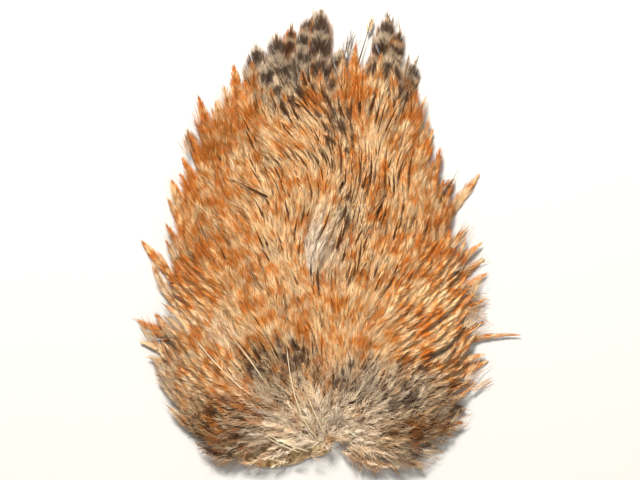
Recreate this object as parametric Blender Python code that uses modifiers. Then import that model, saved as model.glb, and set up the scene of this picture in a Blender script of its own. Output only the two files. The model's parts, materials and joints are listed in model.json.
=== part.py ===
"""A rooster saddle hackle: the dried saddle patch of a rooster, lying flat with its feathers up.

The tail end points along +Y and the cut front edge along -Y. The origin is on the underside of the
dried skin, which lies on z = 0. The loose feathers round the rim each stand alone; the hundreds of
short feathers between them are one coat whose locks lap over each other like shingles. Sizes are in
millimetres until they are placed.
"""

import math
import random
from typing import Callable, NamedTuple

import bmesh
import bpy
from mathutils import Matrix, Vector

MM = 0.001
SEED = 9

# Dried skin
SKIN_THICKNESS = 1.6
SKIN_CURVE_STEPS = 3
SKIN_OUTLINE = (
    (-33.0, -68.5), (-20.0, -69.0), (-12.0, -67.5), (-5.0, -64.5), (3.0, -63.0), (5.5, -59.5),
    (6.5, -56.5), (17.0, -55.5), (30.0, -56.0), (42.0, -48.0), (48.0, -30.0), (49.0, 0.0),
    (44.0, 35.0), (32.0, 58.0), (10.0, 66.0), (-12.0, 66.0), (-34.0, 57.0), (-46.0, 35.0),
    (-50.0, 0.0), (-49.0, -35.0), (-44.0, -58.0),
)

# Rim feathers: a shaft that lies on the skin, and a vane that reaches out past the coat
FEATHER_THICKNESS = 0.7
SHAFT_RISE = 0.2
PIECE_GAP = 0.3
LEVEL_PITCH = FEATHER_THICKNESS + SHAFT_RISE + PIECE_GAP
LEVELS = 3
COAT_CLEARANCE = 0.3
ROOT_ON_SKIN = 0.9
DROP_STARTS = 6.0
DROP_ENDS = 26.0
VANE_ROWS = ((0.0, 0.16), (0.4, 0.28), (0.62, 0.85), (0.8, 1.0), (0.92, 0.66), (1.0, 0.08))

# Coat of short feathers
FAN_CENTRE = (0.0, -45.0)
CROWN_FRONT = 23.0
CROWN_REAR = 12.5
CROWN_RANGE = (-55.0, 115.0)
CROWN_POWER = 2.4
RIM_HEIGHT = 1.9
DOME_SHARE = 0.9
DOME_SHARE_FRONT = 0.98
FRONT_ANGLE = 270.0
FRONT_HALF_ANGLES = (14.0, 34.0)
DOME_SPOKES = 32
DOME_RINGS = (0.0, 0.24, 0.46, 0.66, 0.83, 0.95)
DOME_EDGE = 0.96
PLUG_SHARE = 0.66
UNDERSIDE_SHARE = 0.8
COAT_OUTLINE = (
    (-2.0, 146.0), (12.0, 138.0), (26.0, 137.0), (38.0, 144.0), (46.0, 124.0), (56.0, 98.0),
    (64.0, 68.0), (71.0, 42.0), (76.0, 12.0), (74.0, -14.0), (72.0, -38.0), (58.0, -60.0),
    (46.0, -69.0), (30.0, -69.0), (17.0, -55.0), (6.0, -54.0), (1.0, -60.0), (-12.0, -64.0),
    (-34.0, -67.0), (-52.0, -63.0), (-68.0, -47.0), (-80.0, -24.0), (-84.0, -4.0), (-75.0, 18.0),
    (-73.0, 42.0), (-74.0, 66.0), (-66.0, 96.0), (-54.0, 114.0), (-42.0, 132.0), (-30.0, 139.0),
    (-16.0, 143.0),
)

# Locks of the coat, in rings from the rim to the crown: share of the way out, and spacing
LOCK_RINGS = ((1.0, 25.0), (0.79, 25.0), (0.58, 25.0), (0.37, 27.0), (0.17, 30.0))
LOCK_LENGTH = 46.0
LOCK_HALF_WIDTH = 12.5
LOCK_HALF_THICKNESS = 2.6
LOCK_ROOT_SINK = 4.0
LOCK_TIP_LIFT = 1.0
LOCK_POINT = 0.45
LOCK_SIDES = 8
LOCK_STEPS = 6
LOCK_JITTER = 0.1
LOCK_SIZE_RANGE = (0.92, 1.08)
LOCK_LIFT_RANGE = (0.6, 1.4)
LOCK_FLOOR_LIFT = (0.2, 0.5)
LOCK_RING_SCALES = (1.0, 1.0, 0.95, 0.9, 0.85)
FRONT_SHRINK = 0.35
FRONT_SHRINK_ENDS = -70.0
BARE_FRONT = (250.0, 291.0)
BARE_RINGS = 2


class Feather(NamedTuple):
    """One rim feather: where its tip is, where it leaves the skin, and how it curves."""

    name: str
    tip: tuple[float, float]
    root_angle: float
    width: float
    bow: float
    level: int
    tone: str


FEATHERS = (
    Feather("tail_feather_01", (-44.0, 135.0), 122.0, 9.5, 0.0, 0, "ginger"),
    Feather("tail_feather_02", (-32.5, 145.0), 114.0, 15.0, 0.0, 1, "grizzle"),
    Feather("tail_feather_03", (-22.0, 150.5), 107.5, 14.0, 0.0, 2, "grizzle"),
    Feather("tail_feather_04", (-14.5, 154.5), 102.5, 7.0, 2.0, 0, "ginger"),
    Feather("tail_feather_05", (-3.0, 159.5), 98.0, 7.5, 8.0, 1, "grizzle"),
    Feather("tail_feather_06", (0.5, 163.0), 91.0, 11.5, 0.0, 2, "grizzle"),
    Feather("tail_feather_07", (10.5, 143.0), 86.0, 10.0, 0.0, 0, "grizzle"),
    Feather("tail_feather_08", (18.0, 144.5), 82.0, 7.0, 0.0, 1, "ginger"),
    Feather("tail_feather_09", (27.0, 158.5), 86.5, 3.2, 2.5, 2, "cream"),
    Feather("tail_feather_10", (28.0, 141.5), 75.0, 8.5, 0.0, 0, "cream"),
    Feather("tail_feather_11", (34.5, 159.0), 71.0, 11.5, 0.0, 1, "grizzle"),
    Feather("tail_feather_12", (40.5, 152.0), 67.5, 8.0, 0.0, 2, "ginger"),
    Feather("tail_feather_13", (48.5, 136.5), 63.5, 9.0, 0.0, 0, "grizzle"),
    Feather("right_feather_01", (52.5, 108.0), 59.0, 6.5, 0.0, 1, "cream"),
    Feather("right_feather_02", (57.5, 102.0), 54.0, 7.0, 0.0, 2, "ginger"),
    Feather("right_feather_03", (61.5, 85.0), 49.0, 7.0, 0.0, 0, "ginger"),
    Feather("right_feather_04", (63.5, 76.5), 44.0, 6.5, 0.0, 1, "ginger"),
    Feather("right_feather_05", (68.0, 77.0), 39.0, 7.0, 0.0, 2, "grizzle"),
    Feather("right_feather_06", (81.0, 79.0), 33.0, 5.5, 0.0, 0, "cream"),
    Feather("right_feather_07", (75.0, 52.0), 25.0, 6.0, 0.0, 1, "cream"),
    Feather("right_feather_08", (82.5, 44.5), 17.0, 6.5, 0.0, 2, "ginger"),
    Feather("right_feather_09", (84.0, 36.5), 10.0, 5.5, 0.0, 0, "cream"),
    Feather("right_feather_10", (85.0, 29.0), 3.0, 5.0, 0.0, 1, "cream"),
    Feather("right_feather_11", (84.5, 16.0), -6.0, 6.0, 0.0, 2, "ginger"),
    Feather("right_feather_12", (84.0, 4.0), -14.0, 6.5, 0.0, 0, "ginger"),
    Feather("right_feather_13", (103.0, -3.0), -22.0, 4.0, 5.0, 1, "ginger"),
    Feather("right_feather_14", (84.0, -12.0), -29.0, 6.5, 0.0, 2, "cream"),
    Feather("right_feather_15", (86.0, -15.5), -34.0, 6.5, -1.5, 0, "cream"),
    Feather("right_feather_16", (80.0, -27.0), -39.0, 6.5, 0.0, 1, "ginger"),
    Feather("front_feather_01", (75.0, -40.0), -44.0, 8.0, -1.0, 2, "grizzle"),
    Feather("front_feather_02", (70.0, -51.5), -48.0, 8.0, -1.0, 0, "down"),
    Feather("front_feather_03", (60.0, -61.0), -52.0, 8.0, 0.0, 1, "down"),
    Feather("front_feather_04", (52.0, -72.0), -57.0, 8.0, 0.0, 2, "down"),
    Feather("front_feather_05", (39.5, -74.0), -62.0, 8.0, 0.0, 0, "down"),
    Feather("front_feather_06", (28.0, -73.5), -67.0, 7.0, 0.0, 1, "down"),
    Feather("front_feather_07", (21.0, -72.0), -71.0, 4.5, 0.0, 2, "down"),
    Feather("front_feather_08", (-54.5, -64.0), 231.0, 8.0, 0.0, 1, "down"),
    Feather("front_feather_09", (-64.5, -53.5), 226.0, 8.0, 0.0, 0, "down"),
    Feather("front_feather_10", (-72.5, -42.0), 221.0, 8.0, 0.0, 2, "grizzle"),
    Feather("left_feather_01", (-78.5, -29.0), 215.0, 7.0, 1.0, 1, "grizzle"),
    Feather("left_feather_02", (-84.0, -22.0), 209.0, 6.5, 1.0, 0, "cream"),
    Feather("left_feather_03", (-87.5, -13.5), 203.0, 6.5, 1.5, 2, "cream"),
    Feather("left_feather_04", (-92.0, -5.5), 197.0, 5.5, 2.0, 1, "cream"),
    Feather("left_feather_05", (-92.5, 5.5), 191.0, 8.0, 4.0, 0, "ginger"),
    Feather("left_feather_06", (-84.5, 35.0), 184.5, 5.0, 7.0, 2, "down"),
    Feather("left_feather_07", (-90.5, 45.5), 178.5, 5.5, 2.0, 1, "ginger"),
    Feather("left_feather_08", (-76.0, 39.5), 171.0, 8.0, 0.0, 0, "cream"),
    Feather("left_feather_09", (-77.5, 67.0), 161.0, 5.5, 0.0, 1, "ginger"),
    Feather("left_feather_10", (-75.5, 76.5), 153.0, 5.5, 0.0, 2, "ginger"),
    Feather("left_feather_11", (-70.0, 88.0), 146.0, 6.5, 0.0, 0, "ginger"),
    Feather("left_feather_12", (-67.5, 102.0), 140.0, 5.5, 0.0, 1, "grizzle"),
    Feather("left_feather_13", (-61.5, 118.5), 134.0, 6.5, 0.0, 2, "ginger"),
    Feather("left_feather_14", (-53.0, 115.5), 128.5, 6.5, 0.0, 1, "ginger"),
)

# Colour, roughness and sheen share of each finish
FINISHES = {
    "skin": ((0.50, 0.36, 0.17, 1.0), 0.62, 0.0),
    "coat": ((0.66, 0.36, 0.16, 1.0), 0.72, 0.3),
    "ginger": ((0.62, 0.26, 0.08, 1.0), 0.6, 0.3),
    "grizzle": ((0.22, 0.17, 0.14, 1.0), 0.55, 0.3),
    "cream": ((0.76, 0.60, 0.42, 1.0), 0.6, 0.3),
    "down": ((0.50, 0.42, 0.34, 1.0), 0.8, 0.4),
}


def clear_scene() -> None:
    """Removes what the file opened with."""
    for thing in list(bpy.data.objects):
        bpy.data.objects.remove(thing)


def collection(name: str) -> bpy.types.Collection:
    """Makes a collection in the scene."""
    made = bpy.data.collections.new(name)
    bpy.context.scene.collection.children.link(made)
    return made


def finish(name: str) -> bpy.types.Material:
    """Returns the material of one finish, made at its first use."""
    if name in bpy.data.materials:
        return bpy.data.materials[name]
    colour, roughness, sheen = FINISHES[name]
    material = bpy.data.materials.new(name)
    material.use_nodes = True
    shader = material.node_tree.nodes["Principled BSDF"]
    shader.inputs["Base Color"].default_value = colour
    shader.inputs["Roughness"].default_value = roughness
    shader.inputs["Metallic"].default_value = 0.0
    shader.inputs["Sheen Weight"].default_value = sheen
    return material


def smooth(value: float, low: float, high: float) -> float:
    """Rises smoothly from 0 at low to 1 at high."""
    share = min(1.0, max(0.0, (value - low) / (high - low)))
    return share * share * (3.0 - 2.0 * share)


def radius_of(outline: tuple) -> Callable[[float], float]:
    """Turns an outline round the origin into its radius at any angle in degrees."""
    ring = sorted((math.degrees(math.atan2(y, x)) % 360.0, math.hypot(x, y)) for x, y in outline)
    ring = [(ring[-1][0] - 360.0, ring[-1][1]), *ring, (ring[0][0] + 360.0, ring[0][1])]

    def radius(angle: float) -> float:
        angle %= 360.0
        for (low, near), (high, far) in zip(ring, ring[1:]):
            if low <= angle <= high:
                return near + (far - near) * (angle - low) / (high - low)
        return ring[0][1]

    return radius


skin_radius = radius_of(SKIN_OUTLINE)
coat_radius = radius_of(COAT_OUTLINE)


def polar(x: float, y: float) -> tuple[float, float]:
    """Angle in degrees and distance of a place seen from above."""
    return math.degrees(math.atan2(y, x)), math.hypot(x, y)


def around(angle: float, distance: float) -> tuple[float, float]:
    """The place at an angle in degrees and a distance from the origin."""
    turn = math.radians(angle)
    return distance * math.cos(turn), distance * math.sin(turn)


def drop(x: float, y: float) -> float:
    """How far feathers sink towards the ground once they are past the edge of the skin."""
    angle, distance = polar(x, y)
    return SKIN_THICKNESS * smooth(distance - skin_radius(angle), DROP_STARTS, DROP_ENDS)


def feather_floor(x: float, y: float, level: int) -> float:
    """Underside of a rim feather of one level."""
    return SKIN_THICKNESS + PIECE_GAP + level * LEVEL_PITCH - drop(x, y)


def coat_floor(x: float, y: float) -> float:
    """Underside of the coat, clear of the topmost rim feathers and their long facets."""
    return feather_floor(x, y, LEVELS) + COAT_CLEARANCE


def coat_height(x: float, y: float) -> float:
    """Top of the coat without its locks."""
    angle, distance = polar(x, y)
    out = min(1.0, distance / coat_radius(angle))
    crown = CROWN_FRONT + (CROWN_REAR - CROWN_FRONT) * smooth(y, *CROWN_RANGE)
    rim = coat_floor(x, y) + RIM_HEIGHT
    return rim + (crown - rim) * (1.0 - out**CROWN_POWER)


def heading(x: float, y: float) -> Vector:
    """The way the feathers lie at a place: they fan out from the front of the patch."""
    return Vector((x - FAN_CENTRE[0], y - FAN_CENTRE[1])).normalized()


def mesh_object(name: str, shape: bmesh.types.BMesh, home: bpy.types.Collection) -> bpy.types.Object:
    """Puts a shape in millimetres into the scene in metres."""
    bmesh.ops.scale(shape, vec=(MM, MM, MM), verts=shape.verts)
    bmesh.ops.recalc_face_normals(shape, faces=shape.faces)
    mesh = bpy.data.meshes.new(name)
    shape.to_mesh(mesh)
    shape.free()
    made = bpy.data.objects.new(name, mesh)
    home.objects.link(made)
    return made


def make_skin(home: bpy.types.Collection) -> bpy.types.Object:
    """The dried skin: a flat cut patch with the step in its front edge."""
    curve = bpy.data.curves.new("skin", "CURVE")
    curve.dimensions = "2D"
    curve.fill_mode = "BOTH"
    curve.resolution_u = SKIN_CURVE_STEPS
    curve.extrude = SKIN_THICKNESS / 2 * MM
    spline = curve.splines.new("BEZIER")
    spline.bezier_points.add(len(SKIN_OUTLINE) - 1)
    for point, (x, y) in zip(spline.bezier_points, SKIN_OUTLINE):
        point.co = (x * MM, y * MM, 0.0)
        point.handle_left_type = point.handle_right_type = "AUTO"
    spline.use_cyclic_u = True
    made = bpy.data.objects.new("skin", curve)
    made.location.z = SKIN_THICKNESS / 2 * MM
    home.objects.link(made)
    made.data.materials.append(finish("skin"))
    return made


def make_feather(feather: Feather, home: bpy.types.Collection) -> bpy.types.Object:
    """One rim feather: a narrow shaft end that widens to a vane with a raised shaft, then a point."""
    root = Vector(around(feather.root_angle, ROOT_ON_SKIN * skin_radius(feather.root_angle)))
    tip = Vector(feather.tip)
    chord = tip - root
    side = Vector((-chord.y, chord.x)).normalized()
    bend = (root + tip) / 2 + side * 2 * feather.bow
    rows = len(VANE_ROWS) - 1
    shape = bmesh.new()
    bmesh.ops.create_grid(shape, x_segments=2, y_segments=rows, size=1.0)
    for vertex in shape.verts:
        share, width = VANE_ROWS[round((vertex.co.y + 1) / 2 * rows)]
        across = vertex.co.x
        place = root * (1 - share) ** 2 + bend * 2 * share * (1 - share) + tip * share**2
        slope = (bend - root) * (1 - share) + (tip - bend) * share
        normal = Vector((-slope.y, slope.x)).normalized()
        place += normal * across * width * feather.width / 2
        rise = SHAFT_RISE * (1 - abs(across))
        floor = feather_floor(place.x, place.y, feather.level)
        vertex.co = (place.x, place.y, floor + FEATHER_THICKNESS / 2 + rise)
    made = mesh_object(feather.name, shape, home)
    wall = made.modifiers.new("vane thickness", "SOLIDIFY")
    wall.thickness = FEATHER_THICKNESS * MM
    wall.offset = 0.0
    made.data.materials.append(finish(feather.tone))
    return made


def make_dome(home: bpy.types.Collection) -> bpy.types.Object:
    """The body of the coat, with a foot that stands on the skin inside the ring of feather roots."""
    half = len(DOME_RINGS)
    rings = 2 * half
    shape = bmesh.new()
    bmesh.ops.create_uvsphere(shape, u_segments=DOME_SPOKES, v_segments=rings, radius=1.0)
    for vertex in shape.verts:
        ring = round((math.pi / 2 - math.asin(max(-1.0, min(1.0, vertex.co.z)))) / math.pi * rings)
        angle = math.degrees(math.atan2(vertex.co.y, vertex.co.x))
        aside = smooth(abs(angle % 360.0 - FRONT_ANGLE), *FRONT_HALF_ANGLES)
        rim = coat_radius(angle) * (DOME_SHARE_FRONT + (DOME_SHARE - DOME_SHARE_FRONT) * aside)
        foot = PLUG_SHARE * skin_radius(angle)
        wall = UNDERSIDE_SHARE * skin_radius(angle)
        edge = DOME_EDGE * rim
        if ring < half:
            x, y = around(angle, DOME_RINGS[ring] * rim)
            z = coat_height(x, y)
        elif ring == half:
            x, y = around(angle, rim)
            z = (coat_height(x, y) + coat_floor(x, y)) / 2
        else:
            below = (edge, (edge + wall) / 2, wall, foot, foot / 2, 0.0)
            radius = below[ring - half - 1]
            x, y = around(angle, radius)
            z = coat_floor(x, y) if radius > foot else SKIN_THICKNESS + PIECE_GAP
        vertex.co = (x, y, z)
    return mesh_object("feather_coat", shape, home)


def make_lock(
    tip: Vector, scale: float, dice: random.Random, home: bpy.types.Collection
) -> bpy.types.Object:
    """One lock of the coat: a pointed lens that follows the coat's surface and sinks in at its root."""
    way = heading(tip.x, tip.y)
    way.rotate(Matrix.Rotation(dice.uniform(-LOCK_JITTER, LOCK_JITTER), 2))
    side = Vector((-way.y, way.x))
    length = LOCK_LENGTH * scale * dice.uniform(*LOCK_SIZE_RANGE)
    half = LOCK_HALF_WIDTH * scale * dice.uniform(*LOCK_SIZE_RANGE)
    lift = LOCK_TIP_LIFT * dice.uniform(*LOCK_LIFT_RANGE)
    floor_lift = dice.uniform(*LOCK_FLOOR_LIFT)
    shape = bmesh.new()
    bmesh.ops.create_uvsphere(shape, u_segments=LOCK_SIDES, v_segments=LOCK_STEPS, radius=1.0)
    for vertex in shape.verts:
        along, across, up = vertex.co.z, vertex.co.x, vertex.co.y
        share = (1 + along) / 2
        point = 1 - LOCK_POINT * max(0.0, along)
        place = tip - way * length * (1 - share) + side * across * half * point
        base = coat_height(place.x, place.y) - LOCK_ROOT_SINK * (1 - share) + lift * share
        thick = LOCK_HALF_THICKNESS * point
        lowest = coat_floor(place.x, place.y) + floor_lift + thick
        vertex.co = (place.x, place.y, max(base, lowest) + up * thick)
    return mesh_object("lock", shape, home)


def ring_places(share: float, spacing: float) -> list[Vector]:
    """Lock tips at even steps along the coat's outline drawn in to a share of its size."""
    outline = [Vector(around(angle, share * coat_radius(angle))) for angle in range(360)]
    places = []
    walked = 0.0
    steps = sum((b - a).length for a, b in zip(outline, outline[1:] + outline[:1]))
    pace = steps / round(steps / spacing)
    for a, b in zip(outline, outline[1:] + outline[:1]):
        walked += (b - a).length
        if walked >= pace:
            walked -= pace
            places.append(b)
    return places


def make_coat(home: bpy.types.Collection, cutters: bpy.types.Collection) -> bpy.types.Object:
    """The coat of short feathers: the dome with its rings of locks joined to it."""
    dice = random.Random(SEED)
    coat = make_dome(home)
    for ring, (share, spacing) in enumerate(LOCK_RINGS):
        for tip in ring_places(share, spacing):
            angle = polar(tip.x, tip.y)[0]
            if BARE_FRONT[0] < angle % 360.0 < BARE_FRONT[1] and ring < BARE_RINGS:
                continue
            scale = LOCK_RING_SCALES[ring] * (1 - FRONT_SHRINK * smooth(tip.y / FRONT_SHRINK_ENDS, 0.0, 1.0))
            make_lock(tip, scale, dice, cutters)
    for lock in cutters.objects:
        lock.hide_render = True
        lock.display_type = "WIRE"
    union = coat.modifiers.new("locks", "BOOLEAN")
    union.operation = "UNION"
    union.operand_type = "COLLECTION"
    union.collection = cutters
    coat.data.materials.append(finish("coat"))
    return coat


def main() -> None:
    """Builds the hackle."""
    clear_scene()
    home = collection("rooster_saddle_hackle")
    cutters = collection("locks")
    make_skin(home)
    make_coat(home, cutters)
    for feather in FEATHERS:
        make_feather(feather, home)


main()
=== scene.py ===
"""Looks of a rooster saddle hackle: a dried saddle patch with its feathers, lying flat.

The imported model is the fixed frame. Each loose rim feather is rebuilt barb by barb along its own
node, and the coat between them is made of several hundred feathers that lap over one another,
rooted in the dried skin, with loose down and bare quills at the cut front edge.
"""

from __future__ import annotations

import json
import logging
import math
from dataclasses import dataclass, field
from enum import Enum
from typing import Sequence

import bpy
import numpy as np
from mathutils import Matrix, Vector
from mathutils.bvhtree import BVHTree

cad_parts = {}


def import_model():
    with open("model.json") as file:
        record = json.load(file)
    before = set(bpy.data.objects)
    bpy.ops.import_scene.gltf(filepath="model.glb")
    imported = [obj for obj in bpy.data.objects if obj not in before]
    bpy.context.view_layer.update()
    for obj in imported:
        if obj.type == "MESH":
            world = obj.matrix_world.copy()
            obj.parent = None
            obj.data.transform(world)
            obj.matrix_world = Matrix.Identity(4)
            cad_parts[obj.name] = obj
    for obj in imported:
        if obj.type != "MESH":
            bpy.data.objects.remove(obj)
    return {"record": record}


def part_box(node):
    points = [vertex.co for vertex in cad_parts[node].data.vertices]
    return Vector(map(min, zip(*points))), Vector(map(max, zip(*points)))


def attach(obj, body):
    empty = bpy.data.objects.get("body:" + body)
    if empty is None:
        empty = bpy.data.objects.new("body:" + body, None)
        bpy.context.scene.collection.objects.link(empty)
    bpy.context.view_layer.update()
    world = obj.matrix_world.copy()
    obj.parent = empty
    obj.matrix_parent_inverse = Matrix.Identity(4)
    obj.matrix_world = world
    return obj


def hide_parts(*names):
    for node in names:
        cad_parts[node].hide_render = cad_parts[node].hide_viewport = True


LOG = logging.getLogger("hackle")
MM = 0.001
CM = 0.01
TINY = 1e-6
NO_LENGTH = 1e-9
UP = np.array([0.0, 0.0, 1.0])
BODY = "root"
UV_NAME = "plumage"
TONE_NAME = "tone"
BAR_AND_SHADE_NAME = "dice"

Colour = tuple[float, float, float, float]
Place = tuple[float, float]


class Tone(Enum):
    """The record's material slots that feathers take their finish from."""

    GINGER = "ginger"
    GRIZZLE = "grizzle"
    CREAM = "cream"
    DOWN = "down"
    COAT = "coat"


def blend(low: np.ndarray, high: np.ndarray, share: np.ndarray) -> np.ndarray:
    """Mixes two values by a share from 0 to 1."""
    return low + (high - low) * share


def smooth(value: np.ndarray, low: float, high: float) -> np.ndarray:
    """Rises smoothly from 0 at low to 1 at high."""
    share = np.clip((value - low) / (high - low), 0.0, 1.0)
    return share * share * (3.0 - 2.0 * share)


def unit(vectors: np.ndarray) -> np.ndarray:
    """Scales rows of vectors to length 1."""
    return vectors / np.maximum(np.linalg.norm(vectors, axis=-1, keepdims=True), NO_LENGTH)


def turned(way: np.ndarray, angle: float) -> np.ndarray:
    """Turns a flat direction anticlockwise by an angle in radians."""
    cosine, sine = math.cos(angle), math.sin(angle)
    return np.array([way[0] * cosine - way[1] * sine, way[0] * sine + way[1] * cosine])


def deselect_all() -> None:
    """Leaves object mode with nothing selected."""
    if bpy.context.object and bpy.context.object.mode != "OBJECT":
        bpy.ops.object.mode_set(mode="OBJECT")
    bpy.ops.object.select_all(action="DESELECT")


@dataclass(frozen=True)
class Strand:
    """A closed tapering strand of unit length, modelled once and laid out many times."""

    share: np.ndarray
    across: np.ndarray
    up: np.ndarray
    triangles: np.ndarray

    @classmethod
    def model(cls, sides: int, cuts: Sequence[float]) -> "Strand":
        """Models the strand as a cone with cross cuts.

        Args:
            sides: corners of its cross-section.
            cuts: heights from 0 to 1 where it can bend.

        Returns:
            The strand's points by height, and its triangles.
        """
        deselect_all()
        bpy.ops.mesh.primitive_cone_add(
            vertices=sides, radius1=1.0, radius2=0.0, depth=1.0, location=(0, 0, 0.5)
        )
        made = bpy.context.object
        bpy.ops.object.transform_apply(location=True)
        bpy.ops.object.mode_set(mode="EDIT")
        for cut in cuts:
            bpy.ops.mesh.select_all(action="SELECT")
            bpy.ops.mesh.bisect(plane_co=(0, 0, cut), plane_no=(0, 0, 1))
        bpy.ops.mesh.select_all(action="SELECT")
        bpy.ops.mesh.quads_convert_to_tris()
        bpy.ops.object.mode_set(mode="OBJECT")
        mesh = made.data
        points = np.array([v.co for v in mesh.vertices])
        triangles = np.array([p.vertices for p in mesh.polygons])
        bpy.data.objects.remove(made)
        height = points[:, 2]
        ring = np.maximum(1.0 - height, TINY)
        inside = height < 1.0 - TINY
        return cls(
            share=height,
            across=np.where(inside, points[:, 0] / ring, 0.0),
            up=np.where(inside, points[:, 1] / ring, 0.0),
            triangles=triangles,
        )


@dataclass
class Spine:
    """The line that a feather's shaft follows, in metres."""

    points: np.ndarray

    def __post_init__(self) -> None:
        """Measures the line."""
        steps = np.linalg.norm(np.diff(self.points, axis=0), axis=1)
        self.walked = np.concatenate([[0.0], np.cumsum(steps)])
        self.length = float(self.walked[-1])
        self.slopes = unit(np.gradient(self.points, self.walked, axis=0))

    def read(self, values: np.ndarray, distance: np.ndarray) -> np.ndarray:
        """Reads the line's points or slopes at distances from its root."""
        return np.stack([np.interp(distance, self.walked, values[:, k]) for k in range(3)], axis=-1)

    def at(self, distance: np.ndarray) -> tuple[np.ndarray, np.ndarray, np.ndarray, np.ndarray]:
        """Reads the line at distances from its root.

        Args:
            distance: how far along the line, in metres.

        Returns:
            Places, and the directions along, sideways and up at each.
        """
        place = self.read(self.points, distance)
        along = unit(self.read(self.slopes, distance))
        side = unit(np.cross(along, UP))
        return place, along, side, np.cross(side, along)


@dataclass
class Plume:
    """One feather before it is made: its line, the shape of its vane and its colouring.

    Lengths are in metres and angles in degrees. The tone is its shares of ginger, dark and grey, and
    the period is the distance between two bars in centimetres. The light, streak and shade range are
    partly random tone and partly painted light and shade: they lighten and darken whole feathers,
    locks and single barbs to stand for highlights and for shade between strands.
    """

    spine: Spine
    barb: Strand
    half_width: float
    vane_start: float
    spacing: float = 0.33 * MM
    barb_width: float = 0.3 * MM
    angle: float = 34.0
    tip_angle: float = 20.0
    curl: float = 8.0
    droop: float = 0.1
    scatter: float = 3.0
    clump: float = 5.0
    wave: float = 0.0
    ragged: float = 0.16
    shaft_radius: float = 0.22 * MM
    shaft_tip_radius: float = 0.05 * MM
    shaft_flatness: float = 1.0
    taper: float = 16.0 * MM
    bluntness: float = 0.6
    overhang: float = 2.5 * MM
    longest: float = 13.0 * MM
    tone: tuple[float, float, float] = (0.5, 0.2, 0.0)
    period: float = 0.7
    phase: float = 0.0
    light: float = 1.0
    streak: float = 0.15
    shade_range: float = 0.28
    lace: float = 0.0


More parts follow.
